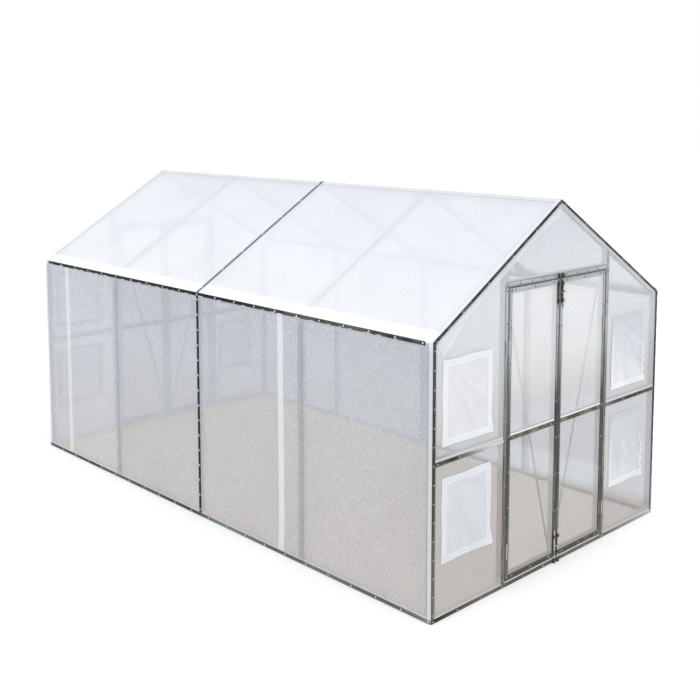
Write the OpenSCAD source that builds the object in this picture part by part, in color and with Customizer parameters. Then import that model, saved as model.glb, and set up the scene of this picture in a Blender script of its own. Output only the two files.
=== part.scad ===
// Walk-in plastic greenhouse: a folded-steel frame with a clear reinforced film clamped on by battens,
// double doors in both gables and four net windows beside each pair of doors.
// X runs across the house, Y along it (the front gable is at -Y), Z is up from the ground.
// Every right-hand piece is the mirror of a left-hand one, and the rear gable mirrors the front one.

/* [House] */
// Width over the outer faces of the side posts
width = 2170; // [1900:5:2700]
// Length over the outer faces of the gable frames
length = 4000; // [3000:10:6000]
// Height of the eave rails' top
eave_h = 1475; // [1440:5:1800]
// Height of the ridge
ridge_h = 2130; // [2090:5:2600]
// Number of bays between the frames
bays = 4; // [2:2:6]

/* [Steel sections] */
// Face of the posts, rafters, rails and jambs
member_face = 35; // [30:1:45]
// Depth of the posts, rafters, rails and jambs, from the cover inwards
member_depth = 32; // [26:1:45]
// Height of the base rails
base_h = 30; // [26:1:45]
// Wall of the folded steel
steel_t = 0.8; // [0.6:0.1:2]
// Lips turned in at the open side of a channel
lip = 8; // [5:0.5:12]
// Width of the ridge beam
ridge_w = 40; // [30:1:60]

/* [Doors] */
// Clear width between the jambs
opening_w = 950; // [800:5:1150]
// Height of the header's underside
opening_h = 1680; // [1500:5:1700]
// Clearance between a door leaf and the jamb, the header and the base rail
leaf_gap = 5; // [5:0.5:8]
// Clearance between the two leaves of a pair of doors
meeting_gap = 8; // [7:0.5:12]
// Face of the tubes of a door leaf
leaf_face = 30; // [25:1:40]
// Depth of the tubes of a door leaf
leaf_depth = 30; // [20:1:36]
// Height of the middle of the mid rails, in the doors and beside them
mid_rail_z = 845; // [800:5:870]
// Width of the flat bar that braces a leaf
brace_w = 15; // [10:1:25]
// Thickness of the flat bar that braces a leaf
brace_t = 2; // [1.5:0.5:4]

/* [Hinges] */
// Height of the middle of the lower hinges
low_hinge_z = 205; // [150:5:400]
// Height of the middle of the upper hinges
high_hinge_z = 1350; // [1000:5:1450]
// Length of a hinge
hinge_len = 84; // [50:1:90]
// Radius of the hinge knuckles
knuckle_r = 5; // [4.5:0.5:7]
// Radius of the hinge pins
pin_r = 2.5; // [2:0.1:3]
// Width of a hinge plate, from the pin's axis
hinge_plate_w = 27; // [22:1:30]

/* [Bolts] */
// Length of a bolt's plate
bolt_plate_len = 130; // [110:5:160]
// Width of a bolt's plate
bolt_plate_w = 24; // [18:1:26]
// Radius of a bolt's rod
rod_r = 4; // [3:0.5:5]
// Travel of a bolt, from drawn back to shot
bolt_travel = 30; // [24:1:34]
// Distance of a bolt's plate from the end of its leaf
bolt_inset = 10; // [8:1:30]

/* [Cover] */
// Thickness of the cover film
film_t = 1; // [0.5:0.1:2]
// Width of the battens that clamp the film on the walls and gables
batten_w = 22; // [18:1:26]
// Width of the trim strips round a doorway
trim_w = 28; // [22:1:32]
// Width of the battens on the door leaves
leaf_batten_w = 24; // [18:1:27]
// Height of the battens over the film
batten_t = 3; // [2:0.25:4]
// Sheet that the battens are rolled from
batten_sheet = 0.8; // [0.6:0.1:1.2]
// Width of the rib along the middle of a batten, at its foot
rib_w = 12; // [10:1:14]
// Width of a window patch left of the doors
window_w = 405; // [300:5:410]
// Width of a window patch right of the doors
right_window_w = 370; // [300:5:410]
// Height of a window patch
window_h = 455; // [300:5:460]
// Hem round a window patch
hem_w = 38; // [25:1:60]
// Thickness of a window patch
window_t = 1; // [0.5:0.1:2]
// Distance of the left-hand window patches from the corner of the house
window_side = 73; // [50:1:90]
// Distance of the right-hand window patches from the trim beside the doors
window_gap = 52; // [20:1:60]
// Height of the foot of the lower windows
low_window_z = 300; // [100:5:340]
// Height of the foot of the upper windows
high_window_z = 918; // [870:5:925]

/* [Hidden] */
$fn = 32;

// The roof's pitch, and how much deeper a rafter measures straight down than square to its face
pitch = atan((ridge_h - eave_h) / (width / 2));
plumb = 1 / cos(pitch);
// The bay from one frame's middle to the next
bay = (length - member_face) / bays;
// A cut that reaches past whatever it cuts
far = 3 * (width + length);
// Gap left between neighbouring sheets or battens that meet end to end
seam = 0.6;
// Gap left where a steel member butts against another one
butt = 0.3;
// Gap left at the film's faces on the slopes
touch = 0.02;
// How far the foot of the film and of the battens stays off the ground
ground_gap = 1;
// Distance of the battens from the edges of the house, the doorway and the leaves
edge = 1;
// How far the eave battens stop short of the gables
eave_stop = 50;
// Outer face of the battens, measured outwards from the frame's own face
batten_face = film_t + batten_t;

// Door leaf: hinge-side edge, meeting edge, foot and head
leaf_out = opening_w / 2 - leaf_gap;
leaf_in = meeting_gap / 2;
leaf_foot = base_h + leaf_gap + ground_gap;
leaf_head = opening_h - leaf_gap;
// Hinge axis: in the middle of the gap at the jamb, and clear of the battens' outer faces
hinge_x = opening_w / 2 - leaf_gap / 2;
hinge_y = batten_face + knuckle_r;
hinge_t = 1.5;
// How deep a hinge plate runs into its knuckles, and how far the pin's ends stay inside them
plate_root = 2;
pin_inset = 1;
// Play between hinge knuckles, along and across the pin
knuckle_gap = 0.5;
pin_play = 0.1;

// Bolt: plate, clearance under the rod, and the height of the rod's axis over the plate's back
bolt_plate_t = 1.5;
rod_clear = 0.5;
rod_lift = bolt_plate_t + rod_clear + rod_r;
// Guides that the rod slides in: walls beside and over it, length, place from the plate's ends, play
guide_wall = 3;
guide_cap = 2;
guide_w = 2 * (rod_r + guide_wall);
guide_h = rod_lift + rod_r + guide_cap;
guide_len = 18;
guide_inset = 8;
rod_play = 0.3;
// Keeper that takes the shot rod
keeper_play = 1;
keeper_len = 20;
// How far a drawn rod stands out of its plate
rod_tip = 5;
// Knob of the rod, and how far it stops from the guide when the rod is shot
knob_r = 3.5;
knob_len = 12;
knob_stop = 1;
// Middle of the left jamb, measured from the middle of the gable
jamb_mid = (opening_w + member_face) / 2;
// Left edges of the window patches left of the doors, and of those right of the doors seen in a mirror
left_window_x = -width / 2 + window_side;
right_window_x = -opening_w / 2 - edge - trim_w - window_gap - right_window_w;
// The bolts sit on the middle of the meeting stiles' battens
bolt_x = leaf_in + edge + leaf_batten_w / 2;

// Height of the frame's top face along the left slope, whose line runs on past the ridge
function roof_z(x) = ridge_h + x * tan(pitch);

// Extrudes a shape drawn in X and Z from y0 to y1
module prism(y0, y1) {
    translate([0, y1, 0]) rotate([90, 0, 0]) linear_extrude(y1 - y0) children();
}

// The right-hand and the rear pieces, from the left-hand and the front ones
module right() {
    mirror([1, 0, 0]) children();
}

module rear() {
    mirror([0, 1, 0]) children();
}

module on_both(axis) {
    children();
    mirror(axis) children();
}

// Lipped channel: the web lies on the X axis, the open side faces +Y
module channel_2d(face, depth) {
    difference() {
        translate([-face / 2, 0]) square([face, depth]);
        translate([-face / 2 + steel_t, steel_t]) square([face - 2 * steel_t, depth - 2 * steel_t]);
        translate([-face / 2 + lip, depth / 2]) square([face - 2 * lip, depth]);
    }
}

// Closed rectangular tube: one face lies on the X axis
module tube_2d(face, depth) {
    difference() {
        translate([-face / 2, 0]) square([face, depth]);
        translate([-face / 2 + steel_t, steel_t]) square([face - 2 * steel_t, depth - 2 * steel_t]);
    }
}

// Rolled batten of width w, lying on the X axis: a thin strip with a rib raised along its middle
module batten_2d(w) {
    inner = rib_w / 2 - batten_t + batten_sheet;
    outer = rib_w / 2 - batten_t + batten_sheet * sqrt(2);
    foot = outer + batten_t - batten_sheet;
    polygon([
        [-w / 2, 0], [-rib_w / 2, 0], [-inner, batten_t - batten_sheet], [inner, batten_t - batten_sheet],
        [rib_w / 2, 0], [w / 2, 0], [w / 2, batten_sheet], [foot, batten_sheet], [outer, batten_t],
        [-outer, batten_t], [-foot, batten_sheet], [-w / 2, batten_sheet],
    ]);
}

// Batten drawn on the X-Z plane from p0 to p1, with its back on that plane and its rib towards -Y
module batten(p0, p1, w) {
    run = p1 - p0;
    translate([p0[0], 0, p0[1]]) rotate([0, atan2(run[0], run[1]), 0])
        linear_extrude(norm(run)) mirror([0, 1]) batten_2d(w);
}

// Brings what is drawn on the X-Z plane onto the film of the front gable or of the left wall;
// on the wall, X runs towards the front gable
module on_gable() {
    translate([0, -length / 2 - film_t, 0]) children();
}

module on_wall() {
    translate([-width / 2 - film_t, 0, 0]) rotate([0, 0, -90]) children();
}

// Upright member of the left wall, web outwards, its middle at y
module wall_upright(y, z0, z1) {
    translate([-width / 2, y, z0]) rotate([0, 0, -90]) linear_extrude(z1 - z0)
        channel_2d(member_face, member_depth);
}

// Upright tube at a corner or jamb of the front gable, its middle at x
module gable_upright(x, z0, z1) {
    translate([x, -length / 2, z0]) linear_extrude(z1 - z0) tube_2d(member_face, member_depth);
}

// Level member of the left wall from end to end, its middle at z
module wall_rail(z, face) {
    translate([-width / 2, -length / 2, z]) rotate([-90, -90, 0]) linear_extrude(length)
        channel_2d(face, member_depth);
}

// Level member of the front gable from x0 to x1, its middle at z
module gable_rail(x0, x1, z, face) {
    translate([x0, -length / 2, z]) rotate([0, 90, 0]) linear_extrude(x1 - x0)
        channel_2d(face, member_depth);
}

module base_rails() {
    color("silver") {
        on_both([1, 0, 0]) wall_rail(base_h / 2, base_h);
        on_both([0, 1, 0])
            gable_rail(-width / 2 + member_depth + butt, width / 2 - member_depth - butt, base_h / 2, base_h);
    }
}

// The end posts are closed tubes, because the gable rails meet their sides
module left_posts() {
    color("silver") {
        for (i = [1 : bays - 1])
            wall_upright(-length / 2 + member_face / 2 + i * bay, base_h, eave_h - member_face);
        on_both([0, 1, 0]) translate([-width / 2, -length / 2 + member_face / 2, base_h])
            rotate([0, 0, -90]) linear_extrude(eave_h - member_face - base_h)
                tube_2d(member_face, member_depth);
    }
}

module right_posts() {
    right() left_posts();
}

module eave_rails() {
    color("silver") on_both([1, 0, 0]) wall_rail(eave_h - member_face / 2, member_face);
}

// Rafter: notched over the eave rail at its foot and cut upright against the ridge beam
module rafter(y) {
    difference() {
        translate([-width / 2, y, eave_h]) rotate([0, 90 - pitch, 0]) rotate([0, 0, -90])
            linear_extrude(width / 2 * plumb + member_depth) channel_2d(member_face, member_depth);
        translate([-ridge_w / 2, -far / 2, 0]) cube(far);
        translate([-width / 2 - far + member_depth, -far / 2, eave_h - far]) cube(far);
    }
}

module left_rafters() {
    color("silver") for (i = [0 : bays]) rafter(-length / 2 + member_face / 2 + i * bay);
}

module right_rafters() {
    right() left_rafters();
}

// Half-width w, foot z0 and top z1 of a section whose top follows the roof
module ridge_outline(w, z0, z1) {
    shoulder = z1 - w * tan(pitch);
    polygon([[-w, z0], [w, z0], [w, shoulder], [0, z1], [-w, shoulder]]);
}

module ridge_beam() {
    foot = roof_z(-ridge_w / 2) - member_depth * plumb;
    color("silver") prism(-length / 2, length / 2) difference() {
        ridge_outline(ridge_w / 2, foot, ridge_h - touch);
        ridge_outline(ridge_w / 2 - steel_t, foot + steel_t, ridge_h - touch - steel_t * plumb);
    }
}

// Everything under a line parallel to the roof, drop below it measured straight down
module under_roof(drop) {
    polygon([
        [-width / 2, 0], [width / 2, 0], [width / 2, eave_h - drop],
        [0, ridge_h - drop], [-width / 2, eave_h - drop],
    ]);
}

// Jambs from the base rail up to the rafters, the header between them, and the mid rails beside them
module front_gable_frame() {
    jamb_x = (opening_w + member_face) / 2;
    color("silver") {
        on_both([1, 0, 0]) intersection() {
            gable_upright(-jamb_x, base_h, ridge_h);
            prism(-length, 0) under_roof(member_depth * plumb + butt);
        }
        translate([-opening_w / 2 + butt, -length / 2, opening_h + member_face / 2]) rotate([0, 90, 0])
            linear_extrude(opening_w - 2 * butt) tube_2d(member_face, member_depth);
        on_both([1, 0, 0])
            gable_rail(-width / 2 + member_depth, -jamb_x - member_face / 2 - butt, mid_rail_z, member_face);
    }
}

module rear_gable_frame() {
    rear() front_gable_frame();
}

// Two sheets a side, which meet on the middle post
module left_wall_film() {
    color("gainsboro", 0.5) on_both([0, 1, 0])
        translate([-width / 2 - film_t, seam / 2, ground_gap])
            cube([film_t, length / 2 - seam / 2, eave_h - seam - ground_gap]);
}

module right_wall_film() {
    right() left_wall_film();
}

module left_roof_film() {
    mitre = film_t * (1 - sin(pitch)) * plumb;
    ridge_x = -seam / 2;
    color("whitesmoke", 0.5) on_both([0, 1, 0]) prism(seam / 2, length / 2) polygon([
        [-width / 2, eave_h], [ridge_x, roof_z(ridge_x)], [ridge_x, roof_z(ridge_x) + film_t * plumb],
        [-width / 2 - film_t, eave_h + mitre],
    ]);
}

module right_roof_film() {
    right() left_roof_film();
}

// Places a window patch's lower left corner for each of the two rows, drawn in X and Z
module at_windows_2d(x) {
    for (z = [low_window_z, high_window_z]) translate([x, z]) children();
}

// A gable's film left of the doorway, with cut-outs under the patches, which start at x and are w wide
module side_panel_2d(x, w) {
    difference() {
        intersection() {
            under_roof(0);
            translate([-width / 2, ground_gap])
                square([width / 2 - opening_w / 2, ridge_h]);
        }
        at_windows_2d(x) translate([hem_w, hem_w])
            square([w - 2 * hem_w, window_h - 2 * hem_w]);
        translate([-jamb_mid, opening_h]) square([far, far]);
    }
}

// Gable film: a panel on each side of the doorway, the peak over it and a strip under it
module front_gable_film() {
    color("gainsboro", 0.5) prism(-length / 2 - film_t, -length / 2) {
        side_panel_2d(left_window_x, window_w);
        mirror([1, 0]) side_panel_2d(right_window_x, right_window_w);
        intersection() {
            under_roof(0);
            translate([-jamb_mid + seam, opening_h + seam]) square([2 * (jamb_mid - seam), ridge_h]);
        }
        translate([-opening_w / 2 + seam, ground_gap])
            square([opening_w - 2 * seam, base_h - 2 * ground_gap]);
    }
}

module rear_gable_film() {
    rear() front_gable_film();
}

// Net patches: a hemmed frame that lies on the film over each cut-out, and the net across it
module front_windows() {
    y = -length / 2 - film_t;
    color("white") prism(y - window_t, y) {
        at_windows_2d(left_window_x) square([window_w, window_h]);
        mirror([1, 0]) at_windows_2d(right_window_x) square([right_window_w, window_h]);
    }
}

module rear_windows() {
    rear() front_windows();
}

// Battens of the left side: along the eave and the base, and from base to ridge on the middle frame
module left_battens() {
    eave_z = eave_h - batten_w / 2;
    base_z = ground_gap + batten_w / 2;
    eave_end = length / 2 - eave_stop;
    color("dimgray") {
        on_wall() {
            batten([-eave_end, eave_z], [eave_end, eave_z], batten_w);
            batten([-length / 2, base_z], [length / 2, base_z], batten_w);
            batten([0, base_z + batten_w / 2 + seam], [0, eave_z - batten_w / 2 - seam], batten_w);
        }
        intersection() {
            translate([-width / 2, 0, eave_h]) rotate([0, 90 - pitch, 0]) rotate([0, 0, 90])
                translate([0, film_t + touch, 0])
                    linear_extrude(width / 2 * plumb + batten_t) batten_2d(batten_w);
            prism(-batten_w, batten_w) translate([-width / 2, 0]) square([width / 2 - seam / 2, far]);
        }
    }
}

module right_battens() {
    right() left_battens();
}

// Battens of the front gable, all in one plane and each cut to meet the next: along the base, up the
// corners, under the roof edges and on the mid rails, with the doorway's trim strips between them
module front_gable_battens() {
    corner_x = -width / 2 + edge + batten_w / 2;
    trim_x = -opening_w / 2 - edge - trim_w / 2;
    header_z = opening_h + edge + trim_w / 2;
    rail_z = mid_rail_z - (member_face - batten_w) / 2;
    base_top = ground_gap + batten_w;
    base_end = width / 2 - edge;
    slope = (edge + batten_w / 2) * plumb;
    low_x = -width / 2 - batten_w;
    color("dimgray") on_gable() {
        batten([-base_end, base_top - batten_w / 2], [base_end, base_top - batten_w / 2], batten_w);
        on_both([1, 0, 0]) {
            intersection() {
                batten([corner_x, base_top + seam], [corner_x, eave_h], batten_w);
                prism(-far, far) under_roof((edge + batten_w) * plumb + seam);
            }
            batten([corner_x + batten_w / 2 + seam, rail_z], [trim_x - trim_w / 2 - seam, rail_z], batten_w);
            intersection() {
                batten([low_x, roof_z(low_x) - slope], [batten_w, roof_z(batten_w) - slope], batten_w);
                prism(-far, far) translate([-base_end, 0]) square([base_end - seam / 2, far]);
            }
        }
    }
    color("darkgray") on_gable() {
        batten([trim_x - trim_w / 2, header_z], [-trim_x + trim_w / 2, header_z], trim_w);
        on_both([1, 0, 0]) batten([trim_x, base_top + seam], [trim_x, header_z - trim_w / 2 - seam], trim_w);
    }
}

module rear_gable_battens() {
    rear() front_gable_battens();
}

// Places children at each hinge's axis and middle, on the left jamb of the front gable
module at_left_hinges() {
    for (z = [low_hinge_z, high_hinge_z]) translate([-hinge_x, -length / 2 - hinge_y, z]) children();
}

// The hinge's middle knuckle, or its two end ones, of radius r and longer by extra at each end
module middle_knuckle(r, extra) {
    h = hinge_len / 3 - knuckle_gap + 2 * extra;
    cylinder(h = h, r = r, center = true);
}

module end_knuckles(r, extra) {
    h = hinge_len / 3 - knuckle_gap / 2 + 2 * extra;
    for (s = [-1, 1]) translate([0, 0, s * hinge_len / 3]) cylinder(h = h, r = r, center = true);
}

// Plate of a hinge beside the pin, on the leaf's side
module hinge_plate() {
    root = knuckle_r - plate_root;
    translate([root, knuckle_r - hinge_t, -hinge_len / 2]) cube([hinge_plate_w - root, hinge_t, hinge_len]);
}

module jamb_hinge() {
    difference() {
        union() {
            right() hinge_plate();
            end_knuckles(knuckle_r, 0);
        }
        middle_knuckle(knuckle_r + knuckle_gap, knuckle_gap);
    }
    cylinder(h = hinge_len - 2 * pin_inset, r = pin_r, center = true);
}

module leaf_hinge() {
    difference() {
        union() {
            hinge_plate();
            middle_knuckle(knuckle_r, 0);
        }
        end_knuckles(knuckle_r + knuckle_gap, knuckle_gap);
        cylinder(h = hinge_len, r = pin_r + pin_play, center = true);
    }
}

// Bolt parts: drawn with the plate's back on Y = 0, the rod along Z and the bolt shooting towards +Z;
// Z = 0 is the leaf's head
module at_left_head_bolt() {
    translate([-bolt_x, -length / 2 - batten_face, leaf_head]) children();
}

module at_left_foot_bolt() {
    translate([-bolt_x, -length / 2 - batten_face, leaf_foot]) mirror([0, 0, 1]) children();
}

module bolt_block(w, h, z, len) {
    translate([-w / 2, -h, z]) cube([w, h, len]);
}

// Bore of radius r along the rod's axis
module rod_bore(r) {
    translate([0, -rod_lift, -far / 2]) cylinder(h = far, r = r);
}

module bolt_case() {
    foot = -bolt_inset - bolt_plate_len;
    difference() {
        union() {
            bolt_block(bolt_plate_w, bolt_plate_t, foot, bolt_plate_len);
            bolt_block(guide_w, guide_h, -bolt_inset - guide_inset - guide_len, guide_len);
            bolt_block(guide_w, guide_h, foot + guide_inset, guide_len);
        }
        rod_bore(rod_r + rod_play);
    }
}

// Rod, drawn back: its tip stands just past the plate, its knob stops against the upper guide when it is
// shot, and its tail then still fills the lower guide
module bolt_rod() {
    tip = -bolt_inset + rod_tip;
    tail = -bolt_inset - bolt_plate_len + guide_inset - bolt_travel;
    knob_z = -bolt_inset - guide_inset - guide_len - knob_stop - knob_r - bolt_travel;
    translate([0, -rod_lift, tail]) cylinder(h = tip - tail, r = rod_r);
    translate([0, -rod_lift, knob_z]) rotate([90, 0, 0]) cylinder(h = rod_r + knob_len, r = knob_r);
}

// Keeper that a shot rod enters: foot is how far past the leaf's end it starts
module bolt_keeper(foot) {
    difference() {
        union() {
            bolt_block(bolt_plate_w, bolt_plate_t, foot, keeper_len);
            bolt_block(guide_w, guide_h + keeper_play, foot, keeper_len);
        }
        rod_bore(rod_r + keeper_play);
    }
}

// Jamb halves of the hinges, and the bolts' keepers on the header and the base rail
module front_door_fittings() {
    head_keeper = leaf_gap + edge + (trim_w - keeper_len) / 2;
    foot_keeper = leaf_foot - ground_gap - (batten_w + keeper_len) / 2;
    color("saddlebrown") on_both([1, 0, 0]) {
        at_left_hinges() jamb_hinge();
        at_left_head_bolt() bolt_keeper(head_keeper);
        at_left_foot_bolt() bolt_keeper(foot_keeper);
    }
}

module rear_door_fittings() {
    rear() front_door_fittings();
}

// Level tube of a leaf between its stiles, its middle at z
module leaf_rail(z) {
    translate([-leaf_out + leaf_face + butt, -length / 2, z]) rotate([0, 90, 0])
        linear_extrude(leaf_out - leaf_in - 2 * (leaf_face + butt)) tube_2d(leaf_face, leaf_depth);
}

// Stiles, three rails, and a flat bar from the hinge side's head to the meeting side's foot
module left_leaf_frame() {
    inside = -length / 2 + leaf_depth + butt;
    head = [-leaf_out + leaf_face / 2, leaf_head - leaf_face];
    foot = [-leaf_in - leaf_face / 2, leaf_foot + leaf_face];
    run = foot - head;
    color("silver") {
        for (x = [-leaf_out + leaf_face / 2, -leaf_in - leaf_face / 2])
            translate([x, -length / 2, leaf_foot]) linear_extrude(leaf_head - leaf_foot)
                tube_2d(leaf_face, leaf_depth);
        for (z = [leaf_foot + leaf_face / 2, mid_rail_z, leaf_head - leaf_face / 2]) leaf_rail(z);
        prism(inside, inside + brace_t) translate(head) rotate(atan2(run[1], run[0]))
            translate([0, -brace_w / 2]) square([norm(run), brace_w]);
    }
}

module left_leaf_film() {
    y = -length / 2;
    color("gainsboro", 0.5) prism(y - film_t, y)
        translate([-leaf_out, leaf_foot]) square([leaf_out - leaf_in, leaf_head - leaf_foot]);
}

// Battens of a leaf: along the outer edges of its frame, and at the foot of its mid rail
module left_leaf_battens() {
    half = leaf_batten_w / 2;
    stile_x = [-leaf_out + edge + half, -leaf_in - edge - half];
    rail_z = [leaf_foot + edge + half, mid_rail_z - leaf_face / 2 + half, leaf_head - edge - half];
    color("darkgray") on_gable() {
        for (x = stile_x) batten([x, leaf_foot + edge], [x, leaf_head - edge], leaf_batten_w);
        for (z = rail_z) batten([stile_x[0] + half + seam, z], [stile_x[1] - half - seam, z], leaf_batten_w);
    }
}

module left_leaf_fittings() {
    color("saddlebrown") {
        at_left_hinges() leaf_hinge();
        at_left_head_bolt() bolt_case();
        at_left_foot_bolt() bolt_case();
    }
}

module left_top_rod() {
    color("saddlebrown") at_left_head_bolt() bolt_rod();
}

module left_foot_rod() {
    color("saddlebrown") at_left_foot_bolt() bolt_rod();
}

base_rails();
left_posts();
right_posts();
left_rafters();
right_rafters();
eave_rails();
ridge_beam();
front_gable_frame();
rear_gable_frame();
left_wall_film();
right_wall_film();
left_roof_film();
right_roof_film();
front_gable_film();
rear_gable_film();
front_windows();
rear_windows();
left_battens();
right_battens();
front_gable_battens();
rear_gable_battens();
front_door_fittings();
rear_door_fittings();
left_leaf_frame();  // front_left_leaf_frame
left_leaf_film();  // front_left_leaf_film
left_leaf_battens();  // front_left_leaf_battens
left_leaf_fittings();  // front_left_leaf_fittings
right() left_leaf_frame();  // front_right_leaf_frame
right() left_leaf_film();  // front_right_leaf_film
right() left_leaf_battens();  // front_right_leaf_battens
right() left_leaf_fittings();  // front_right_leaf_fittings
rear() left_leaf_frame();  // rear_left_leaf_frame
rear() left_leaf_film();  // rear_left_leaf_film
rear() left_leaf_battens();  // rear_left_leaf_battens
rear() left_leaf_fittings();  // rear_left_leaf_fittings
rear() right() left_leaf_frame();  // rear_right_leaf_frame
rear() right() left_leaf_film();  // rear_right_leaf_film
rear() right() left_leaf_battens();  // rear_right_leaf_battens
rear() right() left_leaf_fittings();  // rear_right_leaf_fittings
left_top_rod();  // front_left_top_rod
left_foot_rod();  // front_left_foot_rod
right() left_top_rod();  // front_right_top_rod
right() left_foot_rod();  // front_right_foot_rod
rear() left_top_rod();  // rear_left_top_rod
rear() left_foot_rod();  // rear_left_foot_rod
rear() right() left_top_rod();  // rear_right_top_rod
rear() right() left_foot_rod();  // rear_right_foot_rod
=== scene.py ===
# %% [markdown]
# # A walk-in plastic greenhouse
#
# A house of folded steel, clad in a milky reinforced film. Dark rolled battens and a few hundred small
# screws clamp the film to the frame, both gables have a pair of doors, and four net windows sit beside
# each pair. The steel, the battens, the hinges and the bolts come ready made from the engineering
# model. What this lesson adds is everything soft or small, the finishes, and the light.
#
# The first cell opens the engineering model as a fixed frame. Lengths are metres, X runs across the
# house, Y along it with the front gable at -Y, and Z is up from the ground.

# %% Open the frame
import functools
import math

import bpy
import numpy as np
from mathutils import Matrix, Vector


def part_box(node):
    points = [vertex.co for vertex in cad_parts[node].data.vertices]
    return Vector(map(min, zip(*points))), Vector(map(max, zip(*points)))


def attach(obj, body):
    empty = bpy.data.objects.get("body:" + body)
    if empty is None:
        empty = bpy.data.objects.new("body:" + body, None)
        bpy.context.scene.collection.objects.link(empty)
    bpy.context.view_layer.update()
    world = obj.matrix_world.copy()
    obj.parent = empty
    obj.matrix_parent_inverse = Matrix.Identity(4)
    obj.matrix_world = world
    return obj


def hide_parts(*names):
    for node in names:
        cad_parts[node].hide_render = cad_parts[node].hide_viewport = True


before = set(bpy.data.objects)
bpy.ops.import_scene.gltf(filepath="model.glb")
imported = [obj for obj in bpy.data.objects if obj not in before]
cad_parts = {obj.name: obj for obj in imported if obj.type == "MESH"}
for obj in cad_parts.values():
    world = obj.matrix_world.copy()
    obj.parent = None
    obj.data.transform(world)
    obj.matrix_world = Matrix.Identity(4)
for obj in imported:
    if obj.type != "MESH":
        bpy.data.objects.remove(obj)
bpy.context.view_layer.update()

# %% [markdown]
# Every new piece has to land on the steel to within a millimetre, so its size is read from the frame
# where the frame has it. Four numbers give the whole outline of the house: half its width and half its
# length, and the heights of the eaves and the ridge.

# %% The house's outline
steel_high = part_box("eave_rails")[1]
half_width, eave = steel_high.x, steel_high.z
half_length = steel_high.y
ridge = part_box("ridge_beam")[1].z
pitch = math.atan2(ridge - eave, half_width)
ENDS = (("front", -1), ("rear", 1))  # the gables and the sign of their Y
HANDS = (("left", -1), ("right", 1))  # the sides and the sign of their X
print(f"half width {half_width:.3f}, half length {half_length:.3f}, eave {eave:.3f}, ridge {ridge:.3f}")
print(f"roof pitch {math.degrees(pitch):.1f} degrees")

# %% [markdown]
# The camera comes early, so that each later step can be looked at. A tall thing seen from near by
# keeps its corners almost upright when the camera stays nearly level and its picture is shifted
# down instead of the camera being tilted. Blender's shift does the same: it is a share of the frame's
# width, and negative numbers look lower.

# %% Camera
heading, dip = math.radians(43.92), math.radians(6.0)
ahead = Vector((
    math.sin(heading) * math.cos(dip), math.cos(heading) * math.cos(dip), -math.sin(dip),
))
camera = bpy.data.objects.new("camera", bpy.data.cameras.new("camera"))
camera.data.lens = 53.16
camera.data.sensor_width = 36.0
camera.data.shift_y = -0.187
camera.data.clip_end = 200.0
camera.location = (-4.891, -5.356, 2.627)
camera.rotation_mode = "QUATERNION"
camera.rotation_quaternion = ahead.to_track_quat("-Z", "Y")
bpy.context.scene.collection.objects.link(camera)
bpy.context.scene.camera = camera
bpy.context.scene.view_settings.view_transform = "Standard"
print("camera looks along", [round(v, 3) for v in ahead])

# %% [markdown]
# A material is a small graph of nodes. Drawing it by hand, one link at a time, buries the idea, so two
# helpers are written first. `Value` wraps one socket, and adding, subtracting or multiplying it in
# Python puts in the Math node that does so. `Recipe` holds one material, and its `node` method makes
# any other node: the settings go in first, because some of them change which sockets exist.

# %% Shader arithmetic
class Value:
    """One output socket that can be used in a Python expression."""

    def __init__(self, recipe, socket):
        self.recipe, self.socket = recipe, socket

    def math(self, operation, *others, first=None, clamp=False):
        """A Math node of this value and the others. first is a number that goes before it."""
        terms = ([first] if first is not None else []) + [self, *others]
        return self.recipe.node(
            "ShaderNodeMath", {"operation": operation, "use_clamp": clamp}, dict(enumerate(terms))
        )

    def __add__(self, other):
        return self.math("ADD", other)

    def __sub__(self, other):
        return self.math("SUBTRACT", other)

    def __rsub__(self, other):
        return self.math("SUBTRACT", first=other)

    def __mul__(self, other):
        return self.math("MULTIPLY", other)

    def __truediv__(self, other):
        return self.math("DIVIDE", other)

    __radd__, __rmul__ = __add__, __mul__

    def abs(self):
        return self.math("ABSOLUTE")

    def sin(self):
        return self.math("SINE")

    def clamp(self):
        return self.math("ADD", 0.0, clamp=True)

    def most(self, other):
        return self.math("MAXIMUM", other)

    def least(self, other):
        return self.math("MINIMUM", other)

    def output(self, index):
        """Another output of the node that this one comes from."""
        return Value(self.recipe, self.socket.node.outputs[index])


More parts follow.
